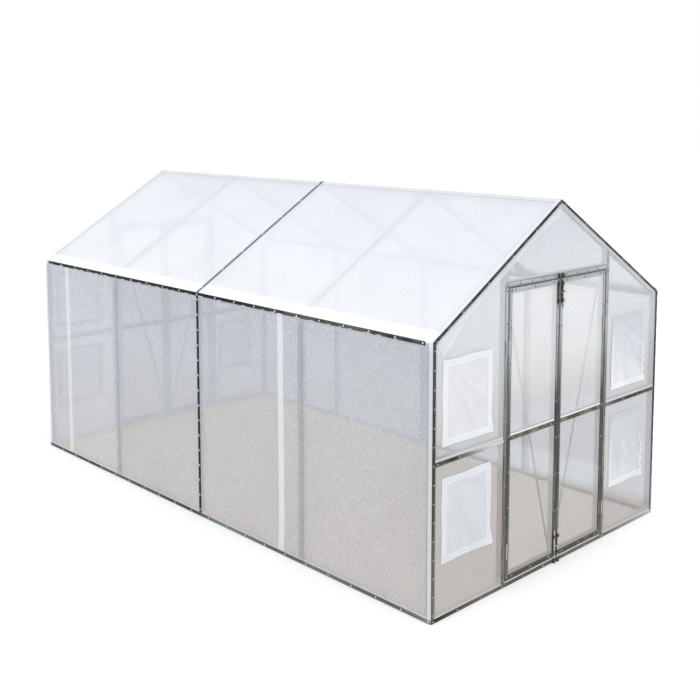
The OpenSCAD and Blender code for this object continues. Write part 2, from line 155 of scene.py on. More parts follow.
class Recipe:
    """One material, or the world if it is given: its nodes are made from here, and finish plugs its
    shader in."""

    def __init__(self, name, world=None):
        self.owner = world or bpy.data.materials.new(name)
        self.owner.use_nodes = True
        self.tree = self.owner.node_tree
        self.tree.nodes.clear()

    def node(self, kind, settings=None, inputs=None, out=0):
        """A node with its settings, then the values or links of its inputs. Gives its output out."""
        made = self.tree.nodes.new(kind)
        for key, setting in (settings or {}).items():
            if key == "stops":
                ramp = made.color_ramp.elements
                while len(ramp) < len(setting):
                    ramp.new(0.5)
                for stop, (place, colour) in zip(ramp, setting):
                    stop.position, stop.color = place, (*colour, 1.0)[:4]
            else:
                setattr(made, key, setting)
        for key, value in (inputs or {}).items():
            if isinstance(value, Value):
                self.tree.links.new(value.socket, made.inputs[key])
            else:
                made.inputs[key].default_value = value
        return Value(self, made.outputs[out])

    def blend(self, share, low, high):
        """Colour low where share is 0 and high where it is 1. Plain colours are (r, g, b)."""
        low, high = [c if isinstance(c, Value) else (*c, 1.0) for c in (low, high)]
        return self.node("ShaderNodeMix", {"data_type": "RGBA"}, {0: share, 6: low, 7: high}, out=2)

    def parts(self, vector):
        """The three numbers of a vector."""
        split = self.node("ShaderNodeSeparateXYZ", {}, {0: vector})
        return split, split.output(1), split.output(2)

    def place(self):
        """The point's X, Y and Z on the house, and the vector that holds them."""
        where = self.node("ShaderNodeTexCoord", out=3)
        return *self.parts(where), where

    def cloth(self):
        """The distances along and up the flat sheet, in metres."""
        return self.parts(self.node("ShaderNodeAttribute", {"attribute_name": "cloth"}, out=1))[:2]

    def scaled(self, colour, factor):
        return self.node("ShaderNodeVectorMath", {"operation": "SCALE"}, {0: colour, "Scale": factor})

    def stretched(self, vector, factors):
        return self.node("ShaderNodeVectorMath", {"operation": "MULTIPLY"}, {0: vector, 1: factors})

    def noise(self, where, scale, detail=2.0):
        return self.node("ShaderNodeTexNoise", {}, {"Vector": where, "Scale": scale, "Detail": detail})

    def bump(self, height, distance, strength=1.0):
        return self.node(
            "ShaderNodeBump", {}, {"Height": height, "Distance": distance, "Strength": strength}
        )

    def skin(self, colour, roughness, others=None):
        """A Principled shader of that colour and roughness, with any other inputs."""
        inputs = {"Base Color": colour, "Roughness": roughness, **(others or {})}
        return self.node("ShaderNodeBsdfPrincipled", {}, inputs)

    def mixed(self, share, low, high):
        """The shader low where share is 0 and high where it is 1."""
        return self.node("ShaderNodeMixShader", {}, {0: share, 1: low, 2: high})

    def finish(self, shader, output="ShaderNodeOutputMaterial"):
        end = self.tree.nodes.new(output)
        self.tree.links.new(shader.socket, end.inputs["Surface"])
        return self.owner


def band(value, middle, half, soft):
    """1 where value is within half of middle, 0 elsewhere, with an edge that is soft wide."""
    return ((half - (value - middle).abs()) / soft + 0.5).clamp()


def above(value, level, soft):
    """0 below level and 1 above it, with an edge that is soft wide."""
    return ((value - level) / soft + 0.5).clamp()


print("helpers ready: Value, Recipe, band, above")

# %% [markdown]
# The studio is a pale floor under an even, pale sky. The sky and the floor are shown white to the
# camera by the Is Camera Ray output of a Light Path node, so the white costs the house no extra light,
# and the floor still takes the house's soft shadow. One wide lamp overhead makes the roof a little
# brighter than the walls, as daylight does.

# %% Sky and floor
def studio_sky(strength):
    """An even sky of that strength, but plain white to the camera and through clear things."""
    world = bpy.data.worlds.new("studio")
    bpy.context.scene.world = world
    recipe = Recipe("studio", world)
    light = recipe.node("ShaderNodeBackground", {}, {0: (0.97, 0.985, 1.0, 1.0), 1: strength})
    white = recipe.node("ShaderNodeBackground", {}, {0: (1.0, 1.0, 1.0, 1.0), 1: 1.0})
    camera_ray = recipe.node("ShaderNodeLightPath")
    seen = camera_ray.most(camera_ray.output("Is Transmission Ray"))
    recipe.finish(recipe.mixed(seen, light, white), "ShaderNodeOutputWorld")


def studio_floor(size, lift):
    """A square floor whose matt surface takes shadows. lift is the white added for the camera alone."""
    recipe = Recipe("pale_floor")
    matt = recipe.node("ShaderNodeBsdfDiffuse", {}, {"Color": (0.82, 0.82, 0.82, 1.0)})
    camera_ray = recipe.node("ShaderNodeLightPath")
    glow = recipe.node("ShaderNodeEmission", {}, {"Strength": camera_ray * lift})
    both = recipe.node("ShaderNodeAddShader", {}, {0: matt, 1: glow})
    mesh = bpy.data.meshes.new("floor")
    corners = [(-size, -size, 0), (size, -size, 0), (size, size, 0), (-size, size, 0)]
    mesh.from_pydata(corners, [], [(0, 1, 2, 3)])
    mesh.materials.append(recipe.finish(both))
    floor = bpy.data.objects.new("floor", mesh)
    bpy.context.scene.collection.objects.link(floor)


studio_sky(0.90)
studio_floor(60.0, 0.12)
print("sky and floor stand ready")

# %% Lamp overhead
lamp = bpy.data.objects.new("overhead", bpy.data.lights.new("overhead", "SUN"))
lamp.data.energy = 1.3
lamp.data.angle = math.radians(50)
lamp.rotation_mode = "QUATERNION"
lamp.rotation_quaternion = Vector((0.25, 0.30, -1.0)).to_track_quat("-Z", "Y")
bpy.context.scene.collection.objects.link(lamp)
print("lamp strength", lamp.data.energy)

# %% [markdown]
# ## Finishes of the steel
#
# The frame is folded from galvanised sheet. Zinc crystals give it a faint patchwork, which is what a
# Voronoi texture draws: each cell takes one grey. The cells are 15 to 20 mm across, and the roughness
# follows them, so that the patches show in the gloss as well as in the colour. The posts between the
# gables and the base rails are painted paler than the rest, as painted light, and a leaf's brace is
# painted darker, as painted shade.

# %% Galvanised steel
def galvanised(name, factor):
    """Grey by the cell and by a slow cloud. factor(x, y) is what the greys are multiplied by."""
    recipe = Recipe(name)
    x, y, _, where = recipe.place()
    cells = recipe.node("ShaderNodeTexVoronoi", {}, {"Vector": where, "Scale": 55.0}, out=1)
    spangle = recipe.node("ShaderNodeSeparateColor", {}, {0: cells})
    cloud = recipe.noise(where, 6.0)
    grey = recipe.blend(spangle * 0.6 + cloud * 0.4, (0.25, 0.27, 0.295), (0.38, 0.40, 0.43))
    grey = recipe.scaled(grey, factor(x, y))
    return recipe.finish(recipe.skin(grey, 0.34 + spangle * 0.16, {"Metallic": 0.35}))


# A leaf's middle, and how far round it a point is clear of the stiles, and of the battens on them.
LEAF_MIDDLE, STEEL_GAP, BATTEN_GAP = 0.237, 0.200, 0.207


def on_leaf(x, gap):
    """1 where a point of a leaf is less than gap from the leaf's middle."""
    return band(x.abs(), LEAF_MIDDLE, gap, 0.001)


steel = galvanised("galvanised_steel", lambda x, y: 1.0)
# Painted light makes the posts between the gables and the base rails paler; painted shade makes a leaf's
# brace darker.
painted_light_post_steel = galvanised("painted_light_post_steel", lambda x, y: 1.7 - above(y.abs(), 1.5, 0.1) * 0.7)
painted_light_base_steel = galvanised("painted_light_base_rail_steel", lambda x, y: 1.9)
leaf_steel_painted_shade = galvanised("leaf_steel_painted_shade", lambda x, y: 1 - on_leaf(x, STEEL_GAP) * 0.7)
print("made", steel.name, painted_light_post_steel.name, painted_light_base_steel.name, leaf_steel_painted_shade.name)

# %% [markdown]
# The clamp battens are rolled from a darker sheet. Broken light and dark lengths are painted into their
# colour as a painted reflection of whatever is around them, and a noise stretched across the batten
# gives those lengths. The trims round the doorway and on the leaves are the same section in a paler
# finish, with a painted reflection that makes it light at head height, dark at knee height and a little
# lighter again by the ground, and painted shade along its edges. One recipe does both: a mask says where
# the pale finish is. Battens stand or lie, and their heights tell the recipe which.

# %% Widths and levels of the battens
BATTEN, TRIM, LEAF_BATTEN = 0.022, 0.028, 0.024
GROUND = 0.0235  # just above the battens on the ground
TRIM_IN, HEADER_LOW = 0.476, 1.681  # inner edges of the doorway's trims
trim_edge, trim_top = TRIM_IN + TRIM, HEADER_LOW + TRIM + 0.0005
LEAF_IN, LEAF_OUT = 0.005, 0.469  # outer edges of the battens on a leaf's stiles
PIN_X, HINGES = 0.4725, (0.205, 1.35)  # the hinges' axis, and their heights
HINGE_HALF = 0.052  # half a hinge's height, with room for a screw
leaf_foot, leaf_top = (corner.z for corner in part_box("front_left_leaf_battens"))
WALL_LYING = [(0.0, GROUND), (eave - 0.0235, eave + 0.001)]
MID_RAIL = (0.826, 0.851)  # from below to above the battens on the gables' mid rails
GABLE_LYING = [(0.0, GROUND), MID_RAIL, (trim_top - 0.029, trim_top + 0.001)]
LEAF_LYING = [(leaf_foot, leaf_foot + 0.0245), (0.829, 0.8545), (leaf_top - 0.0245, leaf_top)]
ALONG_X, ALONG_Y, ALONG_Z = (3.5, 95.0, 95.0), (95.0, 3.5, 95.0), (95.0, 95.0, 3.5)


def spots(low, high, step):
    """Evenly spaced numbers, as near to step apart as fits, inset by 15 mm from both ends."""
    count = max(2, round((high - low - 0.03) / step) + 1)
    return np.linspace(low + 0.015, high - 0.015, count)


post_screws = spots(0.03, eave - 0.03, 0.1)
print("screws up a post:", len(post_screws), "every", round(post_screws[1] - post_screws[0], 4), "m")

# %% Rolled battens
# DARK is the battens' own grey, and MIDDLE the lighter grey of their painted reflection. Each list of
# greys by height is a pale finish with a painted reflection in it.
DARK, MIDDLE = (0.022, 0.024, 0.026), (0.10, 0.105, 0.10)
TRIM_GREYS_WITH_REFLECTION = [
    (0.16, (0.215, 0.21, 0.195)), (0.64, (0.15, 0.15, 0.135)), (0.92, (0.165, 0.17, 0.16)),
    (1.20, (0.31, 0.32, 0.315)), (1.40, (0.44, 0.46, 0.47)),
]
LEAF_GREYS_WITH_REFLECTION = [
    (0.16, (0.135, 0.13, 0.115)), (0.64, (0.075, 0.075, 0.067)), (0.92, (0.080, 0.083, 0.075)),
    (1.20, (0.26, 0.27, 0.265)), (1.40, (0.44, 0.46, 0.47)),
]


def pale_finish_with_reflection(recipe, height, greys):
    """The trims' grey at a height, with a painted reflection in it. The ramp reaches from the ground to
    2 m.
    """
    stops = [(level / 2.0, grey) for level, grey in greys]
    return recipe.node("ShaderNodeValToRGB", {"stops": stops}, {0: height / 2.0})


def inside(value, spans, soft=0.001):
    """1 where value is inside any of the spans (low, high)."""
    masks = [band(value, (low + high) / 2, (high - low) / 2, soft) for low, high in spans]
    return functools.reduce(Value.most, masks)


def rolled(name, lying, way, greys, pale_where, edge_shade_at, touches):
    """Lengths of painted reflection run up a batten, except on those whose height is in the spans of
    lying, where they run along the axis whose entry in way is small. pale_where(x, z) gives the mask of
    the pale finish, whose greys are listed by height with a painted reflection in them, and the next
    argument, also of (x, z), the mask of the painted shade along its edges. Each touch lays a colour of
    its own over
    a place: it is a function of the recipe, x, y, z, the broken noise and the lengths of painted
    reflection, and it gives a mask and that colour."""
    recipe = Recipe(name)
    x, y, z, where = recipe.place()
    broken = recipe.noise(where, 9.0, 4.0)
    upright, flat = recipe.stretched(where, ALONG_Z), recipe.stretched(where, way)
    grain = recipe.blend(inside(z, lying), upright, flat)
    # Painted reflection: light and dark lengths along the batten.
    reflection_streaks = above(recipe.noise(grain, 1.0, 1.0), 0.5, 0.16)
    dark = recipe.blend(above(broken + reflection_streaks * 0.12, 0.58, 0.2), DARK, MIDDLE)
    pale = pale_finish_with_reflection(recipe, z + broken * 0.24 - 0.12, greys)
    # Painted reflection on the pale finish, calmer above 1.2 m, and painted shade along its edges.
    calm = above(z, 1.2, 0.3) * 0.5
    light = 0.60 + calm * 0.5 + reflection_streaks * (0.75 - calm)
    pale = recipe.scaled(pale, light * (1 - edge_shade_at(x, z) * 0.62))
    colour = recipe.blend(pale_where(x, z), dark, pale)
    for touch in touches:
        mask, laid = touch(recipe, x, y, z, broken, reflection_streaks)
        colour = recipe.blend(mask, colour, laid)
    return recipe.finish(recipe.skin(colour, 0.3 + broken * 0.25, {
        "Metallic": 0.25, "Specular IOR Level": 0.2, "Normal": recipe.bump(reflection_streaks, 0.0003),
    }))


def edges(value, low, high):
    """1 on the 3 mm inside either edge."""
    return band(value, low + 0.0015, 0.0015, 0.001).most(band(value, high - 0.0015, 0.0015, 0.001))


def nowhere(x, *others):
    """A mask of 0 all over."""
    return x * 0.0


def everywhere(x, *others):
    """A mask of 1 all over."""
    return x * 0.0 + 1.0


def doorway_trims(x, z):
    """The trims round the doorway, and the ends of the mid rails' battens next to them."""
    low = above(z, GROUND, 0.001) - above(z, trim_top, 0.001)
    beside = (1 - above(x.abs(), trim_edge + 0.16, 0.25)) * inside(z, [MID_RAIL])
    return (low * (1 - above(x.abs(), trim_edge, 0.001))).most(beside)


def doorway_edge_shade(x, z):
    """Painted shade along the edges of the two upright trims, up to the one over the doors, and along
    that one.
    """
    upright = edges(x.abs(), trim_edge - TRIM, trim_edge) * (1 - above(z, trim_top - TRIM, 0.001))
    return upright.most(edges(z, trim_top - TRIM, trim_top))


def leaf_edge_shade(x, z):
    """Painted shade along the edges of the battens on a leaf's two stiles."""
    hinged = edges(x.abs(), LEAF_OUT - LEAF_BATTEN, LEAF_OUT)
    return hinged.most(edges(x.abs(), LEAF_IN, LEAF_IN + LEAF_BATTEN))


print("helpers ready: rolled, inside, edges")

# %% [markdown]
# Some lengths differ from the rest, and each is one small function that gives a mask and a colour. The
# eave batten is painted nearly black over its rear two thirds, a painted shadow under the eave. The
# batten over the roof is painted grey, a painted reflection of the sky. The middle frame's batten is
# painted black between its screws and lighter at them, a painted reflection. Most of those on the
# ground are painted paler, a painted reflection of the light that the ground throws back.

# %% Lengths with a colour of their own
def on_side(x):
    """1 on the battens that lie against a side wall."""
    return above(x.abs(), half_width - 0.002, 0.002)


def along_house(recipe, waves):
    """A noise that changes only along the house, with so many waves to the metre."""
    return recipe.noise(recipe.stretched(recipe.place()[3], (0.0, waves, 0.0)), 1.0, 1.0)


def painted_eave_shadow(recipe, x, y, z, broken, reflection_streaks):
    """Painted shadow: the batten along the eave, from about 0.6 m in front of the house's middle to its
    rear end, is laid nearly black.
    """
    on_eave = band(z, eave - BATTEN / 2, 0.014, 0.002) * on_side(x)
    return on_eave * above(y + broken * 0.8, -0.25, 0.4), (0.003, 0.003, 0.004)


def eave_tabs(recipe, x, y, z, broken, reflection_streaks):
    """Along the eave batten's lower edge the folded film peeps out in short white tabs."""
    strip = above(z, eave - 0.024, 0.001) * (1 - above(z, eave - 0.0185, 0.001))
    return on_side(x) * strip * above(along_house(recipe, 14.0), 0.55, 0.08), (0.74, 0.75, 0.77)


def sky_reflection_on_roof(recipe, x, y, z, broken, reflection_streaks):
    """The middle frame's batten above the eaves, painted grey as a painted reflection of the sky."""
    return above(z, eave + 0.006, 0.004) * (1 - above(y.abs(), 0.2, 0.01)), (0.15, 0.16, 0.18)


def middle_frame(recipe, x, y, z, broken, reflection_streaks):
    """The upright batten of the middle frame, with a painted reflection: a wave along the height, 1 at
    each screw, gives the light places, and between them it is painted black."""
    gap = post_screws[1] - post_screws[0]
    near_screw = above(((z - (post_screws[0] - gap / 4)) * (2 * math.pi / gap)).sin(), 0.80, 0.3)
    mask = above(z, GROUND, 0.001) * (1 - above(z, eave - 0.024, 0.001))
    mask = mask * (1 - above(y.abs(), BATTEN / 2 + 0.0015, 0.001))
    return mask, recipe.blend(near_screw, (0.014, 0.012, 0.014), (0.085, 0.088, 0.085))


def wall_foot(recipe, x, y, z, broken, reflection_streaks):
    """The battens along the ground, with painted light: lit in long patches, and paler over the front
    half.
    """
    lit = above(along_house(recipe, 1.6), 0.55, 0.2)
    grey = recipe.blend(lit, (0.072, 0.076, 0.074), (0.16, 0.163, 0.158))
    return 1 - above(z, GROUND, 0.001), recipe.scaled(grey, 1.8 - above(y, -0.3, 0.8) * 0.8)


def gable_foot(recipe, x, y, z, broken, reflection_streaks):
    """The batten on the ground: nearly black at the left corner, and light at the right one."""
    grey = recipe.node("ShaderNodeValToRGB", {"stops": [
        (0.0, (0.022, 0.022, 0.014)), (0.12, (0.10, 0.098, 0.080)), (0.22, (0.15, 0.15, 0.12)),
        (0.30, (0.10, 0.102, 0.088)), (0.45, (0.115, 0.11, 0.095)), (0.62, (0.16, 0.15, 0.125)),
        (0.76, (0.18, 0.18, 0.155)), (0.88, (0.30, 0.305, 0.285)), (1.0, (0.50, 0.51, 0.50)),
    ]}, {0: x / (2 * half_width) + 0.5})
    return 1 - above(z, GROUND, 0.001), recipe.scaled(grey, 0.75 + broken * 0.5)


def corner_post(recipe, x, y, z, broken, reflection_streaks):
    """The battens at the corners: paler below, dark green at hip height, and grey above, broken by the
    light and dark lengths of painted reflection.
    """
    grey = recipe.blend(above(z + broken * 0.3, 0.65, 0.5), (0.135, 0.13, 0.115), (0.045, 0.055, 0.042))
    grey = recipe.blend(above(z, 1.1, 0.3), grey, (0.065, 0.072, 0.075))
    mask = above(x.abs(), half_width - 0.0235, 0.001) * above(z, GROUND, 0.001)
    return mask * (1 - above(z, eave - 0.003, 0.001)), recipe.scaled(grey, 0.8 + reflection_streaks * 0.35)


def slope_edge(recipe, x, y, z, broken, reflection_streaks):
    """The battens along the slopes are pale over the lower third of their width."""
    below = (ridge - x.abs() * math.tan(pitch) - z) * math.cos(pitch)
    mask = above(below, 0.0165, 0.001) * (1 - above(below, 0.026, 0.002)) * above(z, eave, 0.002)
    return mask, (0.45, 0.46, 0.48)


def pale_rail_end(recipe, x, y, z, broken, reflection_streaks):
    """The mid rail left of the doors is paler next to the trim, in light and dark lengths of painted
    reflection.
    """
    mask = (1 - above(x, -trim_edge, 0.001)) * above(x, -trim_edge - 0.285, 0.25)
    return mask * inside(z, [MID_RAIL]), recipe.blend(reflection_streaks, (0.36, 0.37, 0.38), (0.72, 0.73, 0.74))


def leaf_rails(recipe, x, y, z, broken, reflection_streaks):
    """Olive patches on a leaf's foot and mid rail, between its stiles."""
    olive = recipe.blend(above(broken, 0.56, 0.1), (0.078, 0.074, 0.058), (0.19, 0.18, 0.13))
    return inside(z, LEAF_LYING[:2]) * on_leaf(x, BATTEN_GAP), olive


wall_batten = rolled("wall_batten_steel", WALL_LYING, ALONG_Y, TRIM_GREYS_WITH_REFLECTION, nowhere, nowhere,
                     [painted_eave_shadow, eave_tabs, sky_reflection_on_roof, middle_frame, wall_foot])
gable_batten = rolled("gable_batten_steel", GABLE_LYING, ALONG_X, TRIM_GREYS_WITH_REFLECTION, doorway_trims,
                      doorway_edge_shade, [pale_rail_end, gable_foot, corner_post, slope_edge])
leaf_batten = rolled("leaf_batten_steel", LEAF_LYING, ALONG_X, LEAF_GREYS_WITH_REFLECTION, everywhere, leaf_edge_shade,
                     [leaf_rails])
print("made", wall_batten.name, gable_batten.name, leaf_batten.name)

# %% [markdown]
# The bolts are plated a dark brown with rubbed places, which come from a noise that only counts near
# its top values. The hinges have the grey of the trims beside them, with the same painted reflection,
# and a painted highlight along the knuckle round the pin, and how far out a point is tells a hinge from
# a bolt. The rods of the foot bolts are rubbed bright, and those of the top bolts are dull.

# %% Hinges, bolts and rods
def fittings_finish():
    """Brown on the bolts in the middle of the doorway, grey on the hinges, 0.4 m and more from it."""
    recipe = Recipe("hinges_and_bolts")
    x, _, z, where = recipe.place()
    wear = above(recipe.noise(where, 70.0, 3.0), 0.60, 0.08)
    bolt = recipe.blend(wear, (0.080, 0.068, 0.064), (0.28, 0.26, 0.245))
    # Painted highlight along the knuckle, on a plate that has the trims' painted reflection.
    knuckle = band(x.abs(), PIN_X, 0.0030, 0.003)
    plate = pale_finish_with_reflection(recipe, z, TRIM_GREYS_WITH_REFLECTION)
    hinge = recipe.blend(knuckle, recipe.scaled(plate, 0.9), (0.62, 0.62, 0.60))
    colour = recipe.blend(above(x.abs(), 0.4, 0.01), bolt, hinge)
    return recipe.finish(recipe.skin(colour, 0.42 - wear * 0.1, {"Metallic": 0.3}))


def rod_finish():
    """Bright on the foot bolts, dull on the top ones."""
    recipe = Recipe("bolt_rods")
    height = recipe.place()[2]
    colour = recipe.blend(above(height, 1.0, 0.2), (0.62, 0.63, 0.65), (0.22, 0.20, 0.19))
    return recipe.finish(recipe.skin(colour, 0.3, {"Metallic": 0.5}))


fitting, bright = fittings_finish(), rod_finish()
print("made", fitting.name, bright.name)

# %% Give the frame its finishes
FINISHES = [
    ("leaf_battens", leaf_batten, "batten"), ("gable_battens", gable_batten, "batten"),
    ("battens", wall_batten, "batten"), ("fittings", fitting, "fitting"), ("rod", bright, "fitting"),
    ("leaf_frame", leaf_steel_painted_shade, "steel"), ("base_rails", painted_light_base_steel, "steel"),
    ("posts", painted_light_post_steel, "steel"), ("rafters", steel, "steel"), ("rails", steel, "steel"),
    ("beam", steel, "steel"), ("frame", steel, "steel"),
]
finished = 0
for name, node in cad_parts.items():
    rows = [row for row in FINISHES if row[0] in name]
    if rows:  # the first row that fits counts, and the soft nodes have none
        node.data.materials.clear()
        node.data.materials.append(rows[0][1])
        finished += 1
print("finished", finished, "nodes of the frame")

# %% [markdown]
# ## The film
#
# The film is a polythene sheet with a woven scrim inside. The long cover hides about nine tenths of the
# view and the film of the gables and doors about seven, and both glow with the light from the other
# side. Three shaders make that: a Principled one for the skin, a Translucent one for the light from
# behind, and a Transparent one, mixed in by how much of the view the film hides. Where two layers are
# welded or hemmed the film hides more, is whiter and glows less, so one mask drives all three. The
# film's colour by height is painted light and shade: the walls darker, the roof and the upper gables
# lighter. Low down, the brown of the earth seen through the film is painted on, as a colour that
# multiplies the film's, and masks of painted shade darken the film where steel or folds would shade it.
#
# Each sheet carries an attribute named `cloth`: the distances in metres along and up the flat sheet.
# The weave follows it, and so goes round the eaves with the cloth.

# %% Film recipe
WEAVE = 0.014
WHITE, CREAM = (0.955, 0.965, 0.985), (0.96, 0.96, 0.92)


def film(name, bands, tones, double, mottle, through, earth):
    """tones lists (height, colour, share of the view hidden) from the ground up; its colours carry
    painted light and shade by height. double is the colour of doubled film and the share it hides.
    bands(x, y, z, u, v) gives two masks: where the film is doubled, with some painted light laid into
    that mask, and how much painted shade darkens it. mottle(z) is how strong the mottling is, through(z)
    the share of the film's colour that is lit from the other side, and earth is a mask of (x, y, z) and
    the colour that the film is multiplied by there, a painted tint of the earth seen through the film."""
    recipe = Recipe(name)
    x, y, z, where = recipe.place()
    u, v = recipe.cloth()
    turn = 2 * math.pi / WEAVE
    weave = (u * turn).sin() * (v * turn).sin()
    cloud = recipe.noise(where, 2.3, 3.0)
    grain = recipe.noise(where, 75.0, 1.0)
    doubled_and_painted_light, painted_dim = bands(x, y, z, u, v)
    # The colours by height are painted light and shade.
    tone = recipe.node("ShaderNodeValToRGB", {"stops": [
        (height / ridge, (*colour, hides)) for height, colour, hides in tones
    ]}, {0: z / ridge})
    shade = (cloud - 0.5) * 0.12 + ((grain - 0.5) * 0.8 + weave * 0.45) * mottle(z)
    body = recipe.scaled(tone, 1 + shade)
    # The brown of the earth seen through the film is painted here, and painted shade is laid on after
    # it.
    body = recipe.blend(earth[0](x, y, z), body, recipe.stretched(body, earth[1]))
    body = recipe.scaled(recipe.blend(doubled_and_painted_light, body, double[0]), 1 - painted_dim)
    normal = recipe.bump(weave * 0.4 + grain * 0.6, 0.0004, 0.6)
    skin = recipe.skin(body, 0.42, {"Specular IOR Level": 0.3, "Normal": normal})
    glow = recipe.node("ShaderNodeBsdfTranslucent", {}, {"Color": body})
    solid = recipe.mixed(through(z) * (1 - doubled_and_painted_light * 0.5), skin, glow)
    single = tone.output(1) + (grain - 0.5) * 0.06
    hides = single + doubled_and_painted_light * (double[1] - single)
    return recipe.finish(recipe.mixed(hides, recipe.node("ShaderNodeBsdfTransparent"), solid))


print("weave of", WEAVE * 1000, "mm")

# %% [markdown]
# The long cover is welded from widths of film. The welds are the whitish bands that climb the walls,
# and another bright band runs where the cover is folded over each eave, with a narrow one along the
# ridge, on the ground and down both ends. One frame touches the film of each half from inside: on a
# wall painted shade darkens the film there, as no light would come through, and on the roof painted
# light brightens it. A thin line of painted shade runs beside the frames, below the band along the
# ridge, and inside the rear edge of the roof. The wall of the last bay is painted a little lighter. The
# walls' tones are painted darker than the roof's, and low down the earth seen through the film is
# painted on.

# %% Finish of the long cover
WALL_RUN = eave - 0.001
SLOPE_RUN = math.hypot(half_width, ridge - eave)
HALF_RUN = WALL_RUN + SLOPE_RUN
WELDS = (-0.815, 1.67)
EAVE_FOLD, RIDGE_CAP, END_HEM, FOOT_HEM = 0.076, 0.030, 0.026, 0.029
# The brown of the earth seen through the film is painted on below a line of this slope and height.
EARTH_RISE, EARTH_TOP = 0.354, 0.93  # slope and greatest height of the line up to which earth shows
MEMBER, BAYS = 0.035, 4
frames_y = np.linspace(-half_length + MEMBER / 2, half_length - MEMBER / 2, BAYS + 1).tolist()


def cover_bands(x, y, z, u, v):
    """v is measured from the foot of the left wall, over the ridge, to the foot of the right one, and
    half is the distance from the ridge."""
    half = (v - HALF_RUN).abs()
    wall = above(half, SLOPE_RUN, 0.01)
    welds = (band(u, WELDS[0], 0.025, 0.006) * 0.72).most(band(u, WELDS[1], 0.024, 0.006) * 0.5) * wall
    fold = above(half, SLOPE_RUN - EAVE_FOLD, 0.034) - above(half, SLOPE_RUN + 0.006, 0.012)
    cap = (1 - above(half, RIDGE_CAP, 0.005)) * 0.25
    ends = above(u.abs(), half_length - END_HEM, 0.004) * (wall * 0.4 + 0.4)
    foot = above(half, HALF_RUN - FOOT_HEM, 0.003) * 0.9
    # Painted shade and light: over a frame a wall is darkened and the roof whitened, thin lines of
    # painted shade run beside the frames, below the ridge's band and inside the roof's rear edge, and
    # the last bay's wall is painted lighter.
    contact = band(u.abs(), frames_y[3], MEMBER / 2 + 0.003, 0.012)
    shade = functools.reduce(Value.most, (band(u, frames_y[k] - 0.022, 0.006, 0.004) for k in (1, 3)))
    line = band(half, RIDGE_CAP + 0.006, 0.004, 0.004)
    rear_bay = above(u, frames_y[3], 0.02) * wall
    rear_edge = band(u, half_length - 0.040, 0.012, 0.010) * (1 - wall)
    beside = band(u, -0.026, 0.012, 0.006) * wall
    doubled_and_painted_light = welds.most(fold).most(cap).most(ends).most(foot).most(contact * (1 - wall) * 0.2)
    painted_dim = contact * wall * 0.06 + shade * (0.12 + wall * 0.08) + line * 0.16 + beside * 0.10
    return doubled_and_painted_light, painted_dim - rear_bay * 0.11 + rear_edge * 0.10


def wall_earth(x, y, z):
    """1 below a line that climbs from the rear corner to EARTH_TOP and runs level from there on; below
    it the earth seen through the film is painted on.
    """
    return 1 - above(z - ((half_length - y) * EARTH_RISE).least(EARTH_TOP), 0.02, 0.07)


# The tones are painted light: greyer, darker walls and a lighter roof.
cover_film = film("cover_film", cover_bands, [
    (0.60, (0.735, 0.745, 0.775), 0.87), (1.00, (0.735, 0.755, 0.795), 0.87),
    (eave - 0.005, (0.705, 0.73, 0.775), 0.87), (eave + 0.003, (0.87, 0.89, 0.92), 0.92),
    (1.80, (0.84, 0.86, 0.90), 0.92), (ridge, (0.79, 0.81, 0.85), 0.92),
], double=(WHITE, 0.97), mottle=lambda z: 0.5 - above(z, eave, 0.01) * 0.4,
    through=lambda z: 0.50 - above(z, eave - 0.04, 0.04) * 0.28, earth=(wall_earth, (1.03, 0.97, 0.90)))
print("made", cover_film.name)

# %% [markdown]
# Now the sheets themselves. A sheet is a grid of points, computed as whole arrays from two numbers
# that run along and up the cloth. `sheet_piece` turns one or more such grids into a mesh, and stores
# the flat distances as the `cloth` attribute. A mask can leave cells out, for the windows.

# %% Mesh helpers
def quads(rows, columns, keep, flip):
    """Corner numbers of each cell of a grid, row by row. Cells where keep is False are left out."""
    first = np.arange(rows - 1)[:, None] * columns + np.arange(columns - 1)
    first = (first if keep is None else first[keep]).reshape(-1)
    cells = np.stack([first, first + 1, first + columns + 1, first + columns], axis=1)
    return cells[:, ::-1] if flip else cells


def smooth_mesh(name, points, faces):
    """A mesh of an array of points and a list of faces, shaded smooth."""
    mesh = bpy.data.meshes.new(name)
    mesh.from_pydata(points.tolist(), [], faces)
    mesh.polygons.foreach_set("use_smooth", np.full(len(mesh.polygons), True))
    mesh.update()
    return mesh


def add_piece(mesh, material, body):
    """An object of the mesh's name that rides on a body of the frame."""
    piece = bpy.data.objects.new(mesh.name, mesh)
    mesh.materials.append(material)
    bpy.context.scene.collection.objects.link(piece)
    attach(piece, body)
    return piece


def sheet_piece(name, grids, material, body):
    """grids is a list of (points, cloth, keep, flip), each with points[row, column] = (x, y, z). Points
    that belong to no cell are dropped."""
    points, cloths, cells, count = [], [], [], 0
    for where, cloth, keep, flip in grids:
        rows, columns = where.shape[:2]
        points.append(where.reshape(-1, 3))
        cloths.append(cloth.reshape(-1, 3))
        cells.append(quads(rows, columns, keep, flip) + count)
        count += rows * columns
    cells = np.concatenate(cells)
    used, place = np.unique(cells, return_inverse=True)
    mesh = smooth_mesh(name, np.concatenate(points)[used], place.reshape(cells.shape).tolist())
    layer = mesh.attributes.new("cloth", "FLOAT_VECTOR", "POINT")
    layer.data.foreach_set("vector", np.concatenate(cloths)[used].astype(np.float32).ravel())
    return add_piece(mesh, material, body)


def smooth_step(x):
    """0 below 0, 1 above 1, and an S-shaped rise between."""
    x = np.clip(x, 0.0, 1.0)
    return x * x * (3.0 - 2.0 * x)


print("helpers ready: quads, smooth_mesh, sheet_piece")

